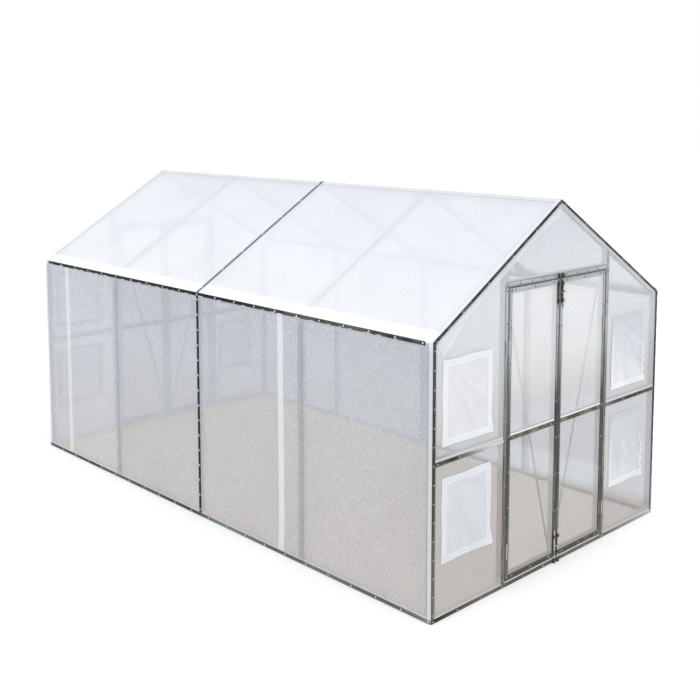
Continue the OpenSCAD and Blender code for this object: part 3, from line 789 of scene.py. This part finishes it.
# %% [markdown]
# Film under tension is never quite flat. Between the posts it leans in and out by a few millimetres,
# and from each corner of a bay fine folds run out like the ribs of a fan. Both fade to nothing at the
# steel, where the battens hold the film, so each wrinkle is multiplied by how free the film is there.

# %% Wrinkles
def fan(u, v, at, count, reach, depth, phase):
    """Folds about the point at: a sine of the angle round it, deepest at reach, fading beyond."""
    du, dv = u - at[0], v - at[1]
    r = np.hypot(du, dv) / reach
    return depth * np.sin(count * np.arctan2(dv, du) + phase) * r * np.exp(1.0 - r)


def slack(u, v, seed):
    """A slow unevenness: four long waves whose directions and starts come from the seed, and whose
    sum is at most 1.3 high."""
    pick = np.random.default_rng(seed)
    total = np.zeros_like(u)
    for length in (1.3, 0.8, 0.45, 0.27):
        angle, start = pick.uniform(0, np.pi), pick.uniform(0, 2 * np.pi)
        along = np.cos(angle) * u + np.sin(angle) * v
        total += length * np.sin(2 * np.pi * along / length + start)
    return total / 2.2


def clear_of(x, members, half, fade):
    """0 on the members, whose middles are given, rising to 1 at fade beyond their edges."""
    gap = np.min([np.abs(x - m) - half for m in members], axis=0)
    return smooth_step(gap / fade)


print("helpers ready: fan, slack, clear_of")

# %% The cover's section
LIFT = 0.0005


def cover_section(v):
    """The point (x, z) and the outward direction at distance v up the cover. The wall is upright, the
    slope is straight, and the outward direction turns smoothly, over 12 mm at the eave and over the
    last 20 mm before the ridge."""
    side = np.where(v < HALF_RUN, -1.0, 1.0)
    w = np.where(v < HALF_RUN, v, 2 * HALF_RUN - v)
    bend = smooth_step((w - WALL_RUN) / 0.012 + 0.5) * (np.pi / 2 - pitch)
    crest = smooth_step((w - HALF_RUN) / 0.02 + 1.0) * pitch
    up = w <= WALL_RUN
    run = w - WALL_RUN
    x = np.where(up, half_width, half_width - run * np.cos(pitch))
    z = np.where(up, w + 0.001, eave + run * np.sin(pitch))
    lean = bend + crest
    return side * x, z, side * np.cos(lean), np.sin(lean)


def cover(y0, y1, seed):
    """A sheet that goes from the ground over the ridge to the ground, from y0 to y1. Between the steel
    it stands off by slack waves and by fans of folds at the foot and the top of each post, and it
    puffs out just above the eave. Its rows are closest at the foot, the eave and the ridge."""
    wall = np.concatenate([np.linspace(0, 0.03, 4)[:-1], np.linspace(0.03, WALL_RUN - 0.036, 84)])
    slope = np.linspace(WALL_RUN + 0.012, HALF_RUN - 0.024, 74)
    turn = np.linspace(WALL_RUN - 0.02, WALL_RUN + 0.008, 8)
    crest = np.linspace(HALF_RUN - 0.014, HALF_RUN, 5)
    left = np.concatenate([wall, turn, slope, crest])
    stations = np.concatenate([left, 2 * HALF_RUN - left[-2::-1]])
    v, y = np.meshgrid(stations, np.linspace(y0, y1, 134), indexing="ij")
    x, z, out_x, out_z = cover_section(v)
    w = np.minimum(v, 2 * HALF_RUN - v)
    free = clear_of(y, frames_y, MEMBER / 2, 0.16)
    free = free * clear_of(w, (0.0, WALL_RUN, HALF_RUN), 0.032, 0.14)
    rise = slack(y, v, seed) * 0.0035 - 0.002
    for k, post in enumerate(frames_y):
        for foot, depth in ((0.03, 0.0012), (WALL_RUN - 0.04, 0.0020)):
            rise = rise + fan(y, w, (post, foot), 17, 0.16, depth, k + 9 * foot)
    puff = 0.0025 * np.exp(-(((w - WALL_RUN - 0.034) / 0.026) ** 2))
    rise = LIFT + rise * free + puff * clear_of(y, (0.0,), 0.011, 0.05)
    points = np.stack([x + out_x * rise, y, z + out_z * rise], axis=-1)
    return [(points, np.stack([y, v, rise], axis=-1), None, True)]


end = half_length + LIFT
for name, y0, y1, seed in (("front_cover", -end, 0.0, 3), ("rear_cover", 0.0, end, 8)):
    piece = sheet_piece(name, cover(y0, y1, seed), cover_film, "root")
    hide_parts("left_wall_film", "left_roof_film", "right_wall_film", "right_roof_film")
    print(piece.name, len(piece.data.vertices), "points")

# %% [markdown]
# ## The gables
#
# Each gable has a film panel on either side of the doorway, one in the peak, and a strip under the
# doors. A panel's grid stands upright, and its top rows lean into the slope of the roof: below a chosen
# level every row is flat, and above it the rows spread out between that level and the roof line. The
# grid has lines along the edges of the windows' cut-outs, so that leaving out cells cuts them clean.
# The mid rail shows as a bright line, because the film is folded double over it.

# %% Finish of the gables
JAMB = 0.4925
RAIL_Z = 0.845
leaf_low, leaf_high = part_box("front_left_leaf_film")
net_low, net_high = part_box("front_windows")


def roof_line(x):
    """Height of the frame's top at x."""
    return ridge - np.abs(x) * math.tan(pitch)


def gable_bands(x, y, z, u, v):
    """A fold above the mid rails, a hem on the ground, and painted shade where one jamb runs up behind
    the peak's panel."""
    fold = band(z, RAIL_Z + 0.012, 0.006, 0.010) * 0.7
    jamb = band(x, JAMB, 0.010, 0.006) * above(z, trim_top, 0.002)
    return fold.most((1 - above(z, FOOT_HEM, 0.002)) * 0.85), jamb * 0.38


def over_line(x, z):
    """Height above the line up to which the earth seen through the film is painted on. That line is
    0.485 m up in the middle of the house and falls by 0.385 to the metre towards the right."""
    return z + x * 0.385 - 0.485


def gable_earth(x, y, z):
    """1 below that line, where the earth's brown is painted on."""
    return 1 - above(over_line(x, z), 0.02, 0.07)


# The brown of the earth seen through the film, painted on. The gables' tones by height are painted light
# and shade.
PAINTED_EARTH_BROWN = (0.826, 0.73, 0.65)
gable_film_finish = film("gable_film", gable_bands, [
    (0.035, (0.69, 0.70, 0.745), 0.88), (0.09, (0.69, 0.70, 0.745), 0.66),
    (0.50, (0.69, 0.70, 0.745), 0.66), (0.80, (0.68, 0.69, 0.715), 0.64),
    (0.95, (0.65, 0.65, 0.645), 0.70), (1.35, (0.80, 0.82, 0.83), 0.70),
    (1.60, (0.88, 0.90, 0.93), 0.62), (ridge, (0.79, 0.81, 0.86), 0.70),
], double=(CREAM, 0.97), mottle=lambda z: 0.2, through=lambda z: 0.22, earth=(gable_earth, PAINTED_EARTH_BROWN))
print("made", gable_film_finish.name)

# %% Gable panels
HEM = 0.038
NET_W, NET_H = {-1: 0.405, 1: 0.370}, 0.455
net_outer = {-1: -net_low.x, 1: net_high.x}
net_feet = (net_low.z, net_high.z - NET_H)
SIDE_LEAN, PEAK_FOOT, PEAK_LEAN = 1.4, 1.695, 1.72  # rows lean above SIDE_LEAN and PEAK_LEAN
HEADER_Z, DOORWAY_HIGH = 1.697, 1.65  # middle of the header, and the height left out of the film
GRID, OFF_STEEL = 0.0125, 0.0006  # a cell, and how far off the steel the film of the gables lies


def lines(marks):
    """Numbers from the first mark to the last, about GRID apart, with every mark among them."""
    runs = [np.linspace(a, b, max(2, int((b - a) / GRID) + 1))[:-1] for a, b in zip(marks, marks[1:])]
    return np.concatenate([*runs, marks[-1:]])


def panel(end_sign, x_edges, z_edges, top_level, seed, fixings, members_x, members_z, holes=()):
    """A film panel in a gable: x_edges and z_edges are grid lines that must exist, the rows above
    top_level lean into the roof, and holes are (x0, x1, z0, z1) boxes that are cut out. It stands off
    by slack waves and by fans of folds at its fixings, and is held on its members."""
    xs = lines(x_edges)
    low = lines([z for z in z_edges if z < top_level] + [top_level])
    lean = np.linspace(0, 1, 26)[1:]
    x, zz = np.meshgrid(xs, np.concatenate([low, top_level + lean]), indexing="xy")
    share = np.clip(zz - top_level, 0, 1)
    z = np.where(zz > top_level, top_level + share * (roof_line(x) - 0.0005 - top_level), zz)
    free = clear_of(x, members_x, MEMBER / 2, 0.09) * clear_of(z, members_z, MEMBER / 2, 0.09)
    free = free * smooth_step((roof_line(x) - z - 0.04) / 0.09)
    rise = slack(x, z, seed) * 0.0028 - 0.0032
    for k, at in enumerate(fixings):
        rise = rise + fan(x, z, at, 19, 0.10, 0.0014, 1.7 * k)
    rise = rise * free + OFF_STEEL
    points = np.stack([x, end_sign * (half_length + rise), z], axis=-1)
    keep = np.ones((len(z) - 1, len(xs) - 1), bool)
    mid_x, mid_z = (x[:-1, :-1] + x[1:, 1:]) / 2, (z[:-1, :-1] + z[1:, 1:]) / 2
    for x0, x1, z0, z1 in holes:
        keep &= ~((mid_x > x0) & (mid_x < x1) & (mid_z > z0) & (mid_z < z1))
    return points, np.stack([x, z, rise], axis=-1), keep, end_sign > 0


def foot_strip(end_sign):
    """The strip of film on the base rail under the doors."""
    x, z = np.meshgrid(np.linspace(-JAMB, JAMB, 41), np.linspace(0.001, 0.028, 3), indexing="xy")
    points = np.stack([x, np.full_like(x, end_sign * (half_length + OFF_STEEL)), z], axis=-1)
    return points, np.stack([x, z, 0 * x], axis=-1), None, end_sign > 0


def gable(end_sign, seed):
    """The panels beside the doorway, the peak's panel and the strip under the doors."""
    grids = []
    for _, side in HANDS:
        inner, outer = sorted((side * JAMB, side * half_width)), half_width - MEMBER / 2
        net_x = sorted(side * (net_outer[side] - d) for d in (HEM, NET_W[side] - HEM))
        holes = [(*net_x, foot + HEM, foot + NET_H - HEM) for foot in net_feet]
        z_edges = sorted([0.001, SIDE_LEAN, *(h[2] for h in holes), *(h[3] for h in holes)])
        corners = [(side * a, b) for a in (outer, JAMB) for b in (0.03, RAIL_Z, SIDE_LEAN + 0.04)]
        grids.append(panel(
            end_sign, [inner[0], *net_x, inner[1]], z_edges, SIDE_LEAN, seed + side, corners,
            (side * JAMB, side * outer), (0.015, RAIL_Z), holes,
        ))
    corners = [(-JAMB, PEAK_LEAN + 0.02), (JAMB, PEAK_LEAN + 0.02), (0.0, ridge - 0.05)]
    grids.append(panel(
        end_sign, [-JAMB, 0.0, JAMB], [PEAK_FOOT, PEAK_LEAN], PEAK_LEAN, seed + 7, corners,
        (-JAMB, JAMB), (HEADER_Z,),
    ))
    grids.append(foot_strip(end_sign))
    return grids


for (word, end_sign), seed in zip(ENDS, (20, 31)):
    piece = sheet_piece(f"{word}_gable_sheet", gable(end_sign, seed), gable_film_finish, "root")
    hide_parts(f"{word}_gable_film")
    print(piece.name, len(piece.data.vertices), "points")

# %% [markdown]
# ## The doors' film
#
# A leaf's film is a plain oblong, clamped along its edges and at the mid rail. Small folds fan out
# from the six corners of its two panes, and a fold of doubled film runs above the mid rail.

# %% Film of the leaves
LEAF_FACE = 0.030


def leaf_bands(x, y, z, u, v):
    """The fold above the mid rail, and painted shade over the stretch between that rail and the line of
    the earth.
    """
    painted_dusk = above(over_line(x, z), 0.16, 0.06) * (1 - above(z, RAIL_Z, 0.01))
    return band(z, RAIL_Z + 0.014, 0.0060, 0.007), painted_dusk * 0.18


# The tones are painted light, lighter higher up.
leaf_film_finish = film("leaf_film", leaf_bands, [
    (0.50, (0.745, 0.777, 0.807), 0.66), (RAIL_Z, (0.745, 0.765, 0.80), 0.66),
    (1.00, (0.69, 0.70, 0.715), 0.78), (1.25, (0.885, 0.89, 0.89), 0.80),
    (1.45, (0.945, 0.95, 0.955), 0.74), (ridge, (0.98, 0.98, 0.985), 0.72),
], double=(CREAM, 0.97), mottle=lambda z: 0.2, through=lambda z: 0.22, earth=(gable_earth, PAINTED_EARTH_BROWN))


def leaf_sheet(end_sign, side, seed):
    """A flat oblong that stands off by slack waves and by fans of folds between its battens."""
    out_x, in_x = -leaf_low.x, -leaf_high.x
    xs, zs = np.linspace(in_x, out_x, 47), np.linspace(leaf_low.z, leaf_high.z, 161)
    x, z = np.meshgrid(xs, zs, indexing="xy")
    stiles = (in_x + LEAF_FACE / 2, out_x - LEAF_FACE / 2)
    rails = (leaf_low.z + LEAF_FACE / 2, RAIL_Z, leaf_high.z - LEAF_FACE / 2)
    free = clear_of(x, stiles, LEAF_FACE / 2, 0.07) * clear_of(z, rails, LEAF_FACE / 2, 0.07)
    rise = slack(x, z, seed) * 0.0022 - 0.0008
    for k, at in enumerate([(a, b) for a in stiles for b in rails]):
        rise = rise + fan(x, z, at, 21, 0.09, 0.0015, 2.3 * k + seed)
    rise = rise * free + OFF_STEEL
    points = np.stack([side * x, end_sign * (half_length + rise), z], axis=-1)
    return [(points, np.stack([x, z, rise], axis=-1), None, side * end_sign > 0)]


LEAVES = [(f"{word}_{hand}_leaf", end_sign, side) for word, end_sign in ENDS for hand, side in HANDS]
for k, (leaf, end_sign, side) in enumerate(LEAVES):
    piece = sheet_piece(f"{leaf}_sheet", leaf_sheet(end_sign, side, 40 + k), leaf_film_finish, leaf)
    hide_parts(f"{leaf}_film")
print("made", len(LEAVES), "leaf sheets")

# %% [markdown]
# ## The net windows
#
# Each window is an oblong of fine white net with a wide hem, welded over a hole in the film. The hem
# is slack, so its edge wanders, one lower corner stands off, and folds run slantwise over the net. In
# the finish, the net is a fine grid that lets a fifth of the view through, and the hem hides nearly
# all of it. The folds are painted into its colour as light and shade, the lower windows are painted
# darker, and those to the right of the doors are painted darker with painted light that grows towards
# their foot and the doors. The two windows to the right of the doors have lost the hem along their top,
# and their outer edge is raw and scalloped.

# %% Net finish
THREADS = 0.006  # from one thread of the net to the next but one


def netting():
    """u is measured from the doors. Folds of painted light and shade fan out from the upper left corner,
    because they are a noise of the slope at which a point lies below that corner."""
    recipe = Recipe("window_net")
    x, y, z, where = recipe.place()
    u, v = recipe.cloth()
    right = above(x, 0.0, 0.01)
    near = u + right * 0.014
    edge = near.least(NET_W[-1] - u + right).least(v).least(NET_H - v + right * 0.022)
    torn = above(u, NET_W[1] - 0.010, 0.004) * (1 - above(v, NET_H * 0.6, 0.02)) * right
    shown = 1 - right * (1 - (NET_H - v) * 5.0).clamp()
    hem = (1 - above(edge, HEM, 0.004)).most(torn) * shown
    rim = (1 - above(edge, 0.006, 0.004)).most(band(edge, HEM - 0.003, 0.003, 0.003)) * shown
    turn = 2 * math.pi / THREADS
    threads = (u * turn).sin() * (v * turn).sin()
    cloud = recipe.noise(where, 9.0, 3.0)
    across = NET_W[-1] - u + right * (u * 2 - NET_W[-1])
    drop = NET_H - v
    slope = across / (drop + 0.04)
    fan_point = recipe.node("ShaderNodeCombineXYZ", {}, {0: slope * 3.2, 1: z * 2.0, 2: x * 2.0})
    folds = (recipe.noise(fan_point, 1.6, 2.0) - 0.5) * above(across + drop, 0.10, 0.15)
    # Painted shade on the lower windows; on those right of the doors painted shade, with painted light
    # towards the foot and the doors, and brighter at the torn edge.
    low = 1 - above(z, 0.85, 0.3)
    lit = right * (drop * 1.3 - u * 0.6) + torn * 0.3
    tone = 0.5 + (cloud - 0.5) * 0.25 + folds * (0.55 + right * 0.5) * (1 - hem * 0.6) + threads * 0.06
    tone = (tone + hem * 0.10 + rim * 0.13 - low * (0.27 - right * 0.11) + lit - right * 0.40).clamp()
    colour = recipe.blend(tone, (0.62, 0.64, 0.68), (0.95, 0.96, 0.985))
    normal = recipe.bump(threads * 0.5 + cloud * 0.5, 0.0006, 0.5)
    skin = recipe.skin(colour, 0.6, {"Specular IOR Level": 0.2, "Normal": normal})
    hides = 0.80 + hem * 0.16 + threads * 0.05
    return recipe.finish(recipe.mixed(hides, recipe.node("ShaderNodeBsdfTransparent"), skin))


net_finish = netting()
print("made", net_finish.name)

# %% Net windows
def net_window(end_sign, side, foot, seed):
    """u runs from the doors towards the corner of the house, v up. The outline wanders by a few
    millimetres, and a lower corner leans out: the one by the doors on the left, which also reaches
    towards them, and the other one on the right, where the raw edge is scalloped up to a height. The
    net stands off by slanting waves, by sharp creases and by a fan from its outer top corner."""
    wide = NET_W[side]
    u, v = np.meshgrid(np.linspace(0, 1, 61), np.linspace(0, 1, 67), indexing="xy")
    pick = np.random.default_rng(seed)
    a, b, c, d = pick.uniform(0, 2 * np.pi, 4)
    rim_u, rim_v = np.abs(2 * u - 1) ** 6, np.abs(2 * v - 1) ** 6
    loose = u if side < 0 else 1 - u
    flare = np.exp(-(loose / 0.16) ** 2 - (v / 0.13) ** 2) * (0.3 + 0.7 * pick.random())
    x = u * wide + rim_u * np.sign(u - 0.5) * (0.0022 * np.sin(9 * v + a) - 0.002)
    if side < 0:
        x = x - 0.014 * flare
    else:
        bumps = np.sqrt(np.abs(np.sin(np.pi * 9 * v + b))) * smooth_step((0.62 - v) / 0.2)
        point = np.clip(1 - v / 0.10, 0, 1)
        x = x + (0.026 * point + 0.022 * bumps * (1 - point) - 0.008) * u ** 12
    wander = (0.0018 - 0.0007 * side) * np.sin(8 * u + b)
    z = v * NET_H + rim_v * np.sign(v - 0.5) * (wander - 0.002) - 0.006 * flare
    slope = (1 - loose) / (1.1 - v)
    inner = np.sin(np.pi * u) * np.sin(np.pi * v)
    slant = np.sin(2 * np.pi * 1.4 * slope + c) * inner
    creases = np.maximum(0, np.sin(2 * np.pi * 2.2 * slope + d)) ** 6 * inner
    rise = 0.0013 + 0.0008 * (1 + slant) + 0.0030 * creases
    rise = rise + 0.007 * flare + fan(u * wide, v * NET_H, (wide, NET_H), 15, 0.14, 0.0005, a)
    points = np.stack([
        side * (net_outer[side] - wide + x), end_sign * (half_length + rise + 0.0008), foot + z,
    ], axis=-1)
    return [(points, np.stack([u * wide, v * NET_H, rise], axis=-1), None, side * end_sign > 0)]


count = 0
for word, end_sign in ENDS:
    for hand, side in HANDS:
        for level, foot in zip(("low", "high"), net_feet):
            grid = net_window(end_sign, side, foot, 60 + count)
            piece = sheet_piece(f"{word}_{hand}_{level}_net", grid, net_finish, "root")
            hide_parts(f"{word}_windows")
            count += 1
print("made", count, "net windows")

# %% [markdown]
# ## The flaps under the roof's edge
#
# The cover's end is turned over the gable and clamped by the batten along the slope, and its loose
# edge hangs a few centimetres below. The left flap of a gable is the broad one. It is widest at the
# eave, where the fold's corner is tucked in, and widens a little at the peak too. A strip along the
# slope does it: one number runs from the ridge to the eave, the other across.


def flap(end_sign, side, seed):
    """along runs from the ridge to the eave, and across from the slope to the loose edge, from which
    the cloth's second number is measured. Seen from outside, the flap on the left is the broad one."""
    reach = half_width / math.cos(pitch)
    stations = np.linspace(0.004, reach - 0.02, 141)
    along, across = np.meshgrid(stations, np.linspace(0, 1, 12), indexing="ij")
    a, b = np.random.default_rng(seed).uniform(0, 2 * np.pi, 2)
    broad = 1.0 if side * end_sign > 0 else 0.0
    tuck = np.exp(-((reach - 0.05 - along) / 0.16) ** 2) * broad
    peak = np.exp(-((along - 0.05) / 0.08) ** 2)
    wide = 0.030 + 0.020 * broad + 0.002 * np.sin(9 * along + a) + 0.050 * tuck + 0.030 * peak * broad
    deep = 0.010 + across * wide
    x = np.maximum(along * math.cos(pitch) - deep * math.sin(pitch), 0.0008)
    z = ridge - along * math.sin(pitch) - deep * math.cos(pitch)
    rise = 0.0011 + 0.0010 * across * (1 + np.sin(26 * along + 3 * across + b)) + 0.004 * tuck * across
    points = np.stack([side * x, end_sign * (half_length + rise), z], axis=-1)
    return [(points, np.stack([along, (across - 1) * wide, rise], axis=-1), None, side * end_sign > 0)]


def flap_bands(x, y, z, u, v):
    """Painted shade along the loose edge, most of all on the narrow flaps, where x and y have opposite
    signs.
    """
    narrow = 1 - above(x * y, 0.0, 0.001)
    edge = band(v, -0.0045, 0.002, 0.002) * narrow * 0.42
    return nowhere(x), (above(v, -0.004, 0.002) * 0.16).most(edge)


flap_film = film("flap_film", flap_bands, [
    (eave - 0.1, (0.92, 0.93, 0.95), 0.62), (ridge, (0.92, 0.93, 0.95), 0.62),
], double=(WHITE, 0.66), mottle=lambda z: 0.1, through=lambda z: 0.22, earth=(nowhere, WHITE))
for k, (word, end_sign) in enumerate(ENDS):
    for hand, side in HANDS:
        piece = sheet_piece(f"{word}_{hand}_flap", flap(end_sign, side, 80 + k), flap_film, "root")
print("made four flaps")

# %% [markdown]
# ## The screws
#
# Pan-head screws fix every batten. There are several hundred, so one head is only a few dozen faces:
# four rings, from below the batten's face up over the dome, and a flat cap. Heads of one kind on one
# body are one mesh, and their places are computed together: a head's points are turned into three
# directions that belong to its batten and added to its place.

# %% One head, copied to many places
HEAD_R, HEAD_H, SIDES = 0.0050, 0.0022, 10


def head():
    """Points and faces of one dome: rings at set shares of the radius and the height."""
    angle = np.arange(SIDES) * 2 * np.pi / SIDES
    ring = np.stack([np.cos(angle), np.sin(angle), 0 * angle], axis=1)
    levels = [(1.0, -0.35), (1.0, 0.25), (0.72, 0.78), (0.36, 0.97)]
    points = np.concatenate([ring * (HEAD_R * r, HEAD_R * r, 1) + (0, 0, HEAD_H * h) for r, h in levels])
    step, top = np.arange(SIDES), len(levels) - 1
    turn = (step + 1) % SIDES
    sides = [np.stack([step, turn, turn + SIDES, step + SIDES], axis=1) + SIDES * k for k in range(top)]
    return points, np.concatenate(sides), step + top * SIDES


def screws(name, places, outward, material, body, slot):
    """A head at each place, standing out along its own row of outward. Its other two directions are
    square to that one."""
    points, sides, cap = head()
    n = np.asarray(outward, float)
    side = np.cross(n, np.where(np.abs(n[:, 2:3]) > 0.9, (0.0, 1.0, 0.0), (0.0, 0.0, 1.0)))
    side /= np.linalg.norm(side, axis=1, keepdims=True)
    up = np.cross(n, side)
    turned = (points[None, :, :1] * side[:, None] + points[None, :, 1:2] * up[:, None]
              + points[None, :, 2:] * n[:, None]) + np.asarray(places)[:, None]
    shift = np.arange(len(places))[:, None, None] * len(points)
    faces = (sides[None] + shift).reshape(-1, 4).tolist() + (cap[None] + shift[:, 0]).tolist()
    return add_piece(smooth_mesh(name, turned.reshape(-1, 3), faces), material, body)


print("one head has", len(head()[1]) + 1, "faces")

# %% [markdown]
# The same zinc screw is painted in three greys. A painted highlight makes it bright on a dark batten,
# most of all along the sides of the house; on the gables it is painted bright on the ground and duller
# further up. On the pale trims at eye height painted shade shows the same screw dark instead, so there
# its grey goes down with the height, while the trims' goes up.

# %% Screw finishes
def screw_finish(name, low, high, start, soft):
    """The grey low below the height start, and the colour high above it, with an edge that is soft wide
    and a little uneven: painted highlight and shade of one zinc screw."""
    recipe = Recipe(name)
    _, _, z, where = recipe.place()
    level = z + recipe.noise(where, 40.0) * soft * 0.5
    grey = recipe.blend(above(level, start, soft), (low, low, low), high)
    return recipe.finish(recipe.skin(grey, 0.3, {"Metallic": 0.35}))


side_screw = screw_finish("side_screw", 0.80, (0.92, 0.93, 0.94), 0.04, 0.01)
zinc_screw = screw_finish("zinc_screw", 0.50, (0.36, 0.37, 0.36), 0.04, 0.01)
trim_screw = screw_finish("trim_screw", 0.42, (0.10, 0.10, 0.095), 1.2, 0.4)
print("made", side_screw.name, zinc_screw.name, trim_screw.name)

# %% Places of the screws
OVER = 0.0040  # from the steel's face to the batten's
INSET = 0.001 + BATTEN / 2  # from the edge of a wall to the middle of the batten along it


def on_gable(end_sign, xz):
    """Places and directions of screws on the gable's battens, from an array of (x, z)."""
    xz = np.asarray(xz)
    y = np.full(len(xz), end_sign * (half_length + OVER))
    return np.stack([xz[:, 0], y, xz[:, 1]], axis=1), np.tile((0.0, end_sign, 0.0), (len(xz), 1))


def on_wall(side):
    """Screws of one long side: along the eave and the base, and up the middle frame to the ridge."""
    x = side * (half_width + OVER)
    rows = []
    for z, reach in ((eave - BATTEN / 2, half_length - 0.05), (INSET, half_length)):
        y = spots(-reach, reach, 0.19)
        rows.append(np.stack([np.full_like(y, x), y, np.full_like(y, z)], axis=1))
    rows.append(np.stack([np.full_like(post_screws, x), 0 * post_screws, post_screws], axis=1))
    out = np.tile((float(side), 0.0, 0.0), (sum(map(len, rows)), 1))
    run = spots(0.03, SLOPE_RUN - 0.03, 0.2)
    slope = np.array((side * math.sin(pitch), 0.0, math.cos(pitch)))
    roof_x, roof_z = side * (half_width - run * math.cos(pitch)), eave + run * math.sin(pitch)
    rows.append(np.stack([roof_x, 0 * run, roof_z], axis=1) + slope * OVER)
    return np.concatenate(rows), np.concatenate([out, np.tile(slope, (len(run), 1))])


def in_hinge(z):
    """Whether a hinge leaves no room for a screw at that height."""
    return any(abs(z - middle) < HINGE_HALF for middle in HINGES)


def gable_rows(side):
    """(x, z) of the screws on the clamp battens and on the trims beside one half of a doorway."""
    dark = [(side * (half_width - INSET), z) for z in post_screws]
    dark += [(side * x, INSET) for x in spots(0.1, half_width, 0.2)]
    dark += [(side * x, sum(MID_RAIL) / 2) for x in spots(0.51, 1.06, 0.15)]
    slope_x = spots(0.02, half_width - 0.01, 0.19)
    dark += [(side * x, roof_line(x) - INSET / math.cos(pitch)) for x in slope_x]
    trim_x = trim_edge - TRIM / 2
    pale = [(side * trim_x, z) for z in spots(0.03, HEADER_LOW - 0.001, 0.19) if not in_hinge(z)]
    pale += [(side * x, HEADER_LOW + TRIM / 2) for x in spots(0.04, 0.5, 0.11)]
    return dark, pale


count = 0
for hand, side in HANDS:
    places, out = on_wall(side)
    screws(f"{hand}_side_screws", places, out, side_screw, "root", "fitting")
    count += len(places)
for word, end_sign in ENDS:
    dark, pale = (sum(rows, []) for rows in zip(gable_rows(-1), gable_rows(1)))
    screws(f"{word}_gable_screws", *on_gable(end_sign, dark), zinc_screw, "root", "fitting")
    screws(f"{word}_trim_screws", *on_gable(end_sign, pale), trim_screw, "root", "fitting")
    count += len(dark) + len(pale)
print("screws on the house:", count)

# %% Screws of the leaves
def leaf_rows(side):
    """(x, z) of the screws on a leaf's battens, clear of its hinges and bolts."""
    hinge_x, meet_x = LEAF_OUT - LEAF_BATTEN / 2, LEAF_IN + LEAF_BATTEN / 2
    inset = 0.001 + LEAF_BATTEN / 2
    rows = [(side * hinge_x, z) for z in spots(leaf_low.z, leaf_high.z, 0.2) if not in_hinge(z)]
    rows += [(side * meet_x, z) for z in spots(0.30, 1.42, 0.2)]
    for z in (leaf_low.z + inset, RAIL_Z - 0.003, leaf_high.z - inset):
        rows += [(side * x, z) for x in spots(0.05, 0.43, 0.17)]
    return rows


for leaf, end_sign, side in LEAVES:
    screws(f"{leaf}_screws", *on_gable(end_sign, leaf_rows(side)), trim_screw, leaf, "fitting")
print("screws on each leaf:", len(leaf_rows(1)))
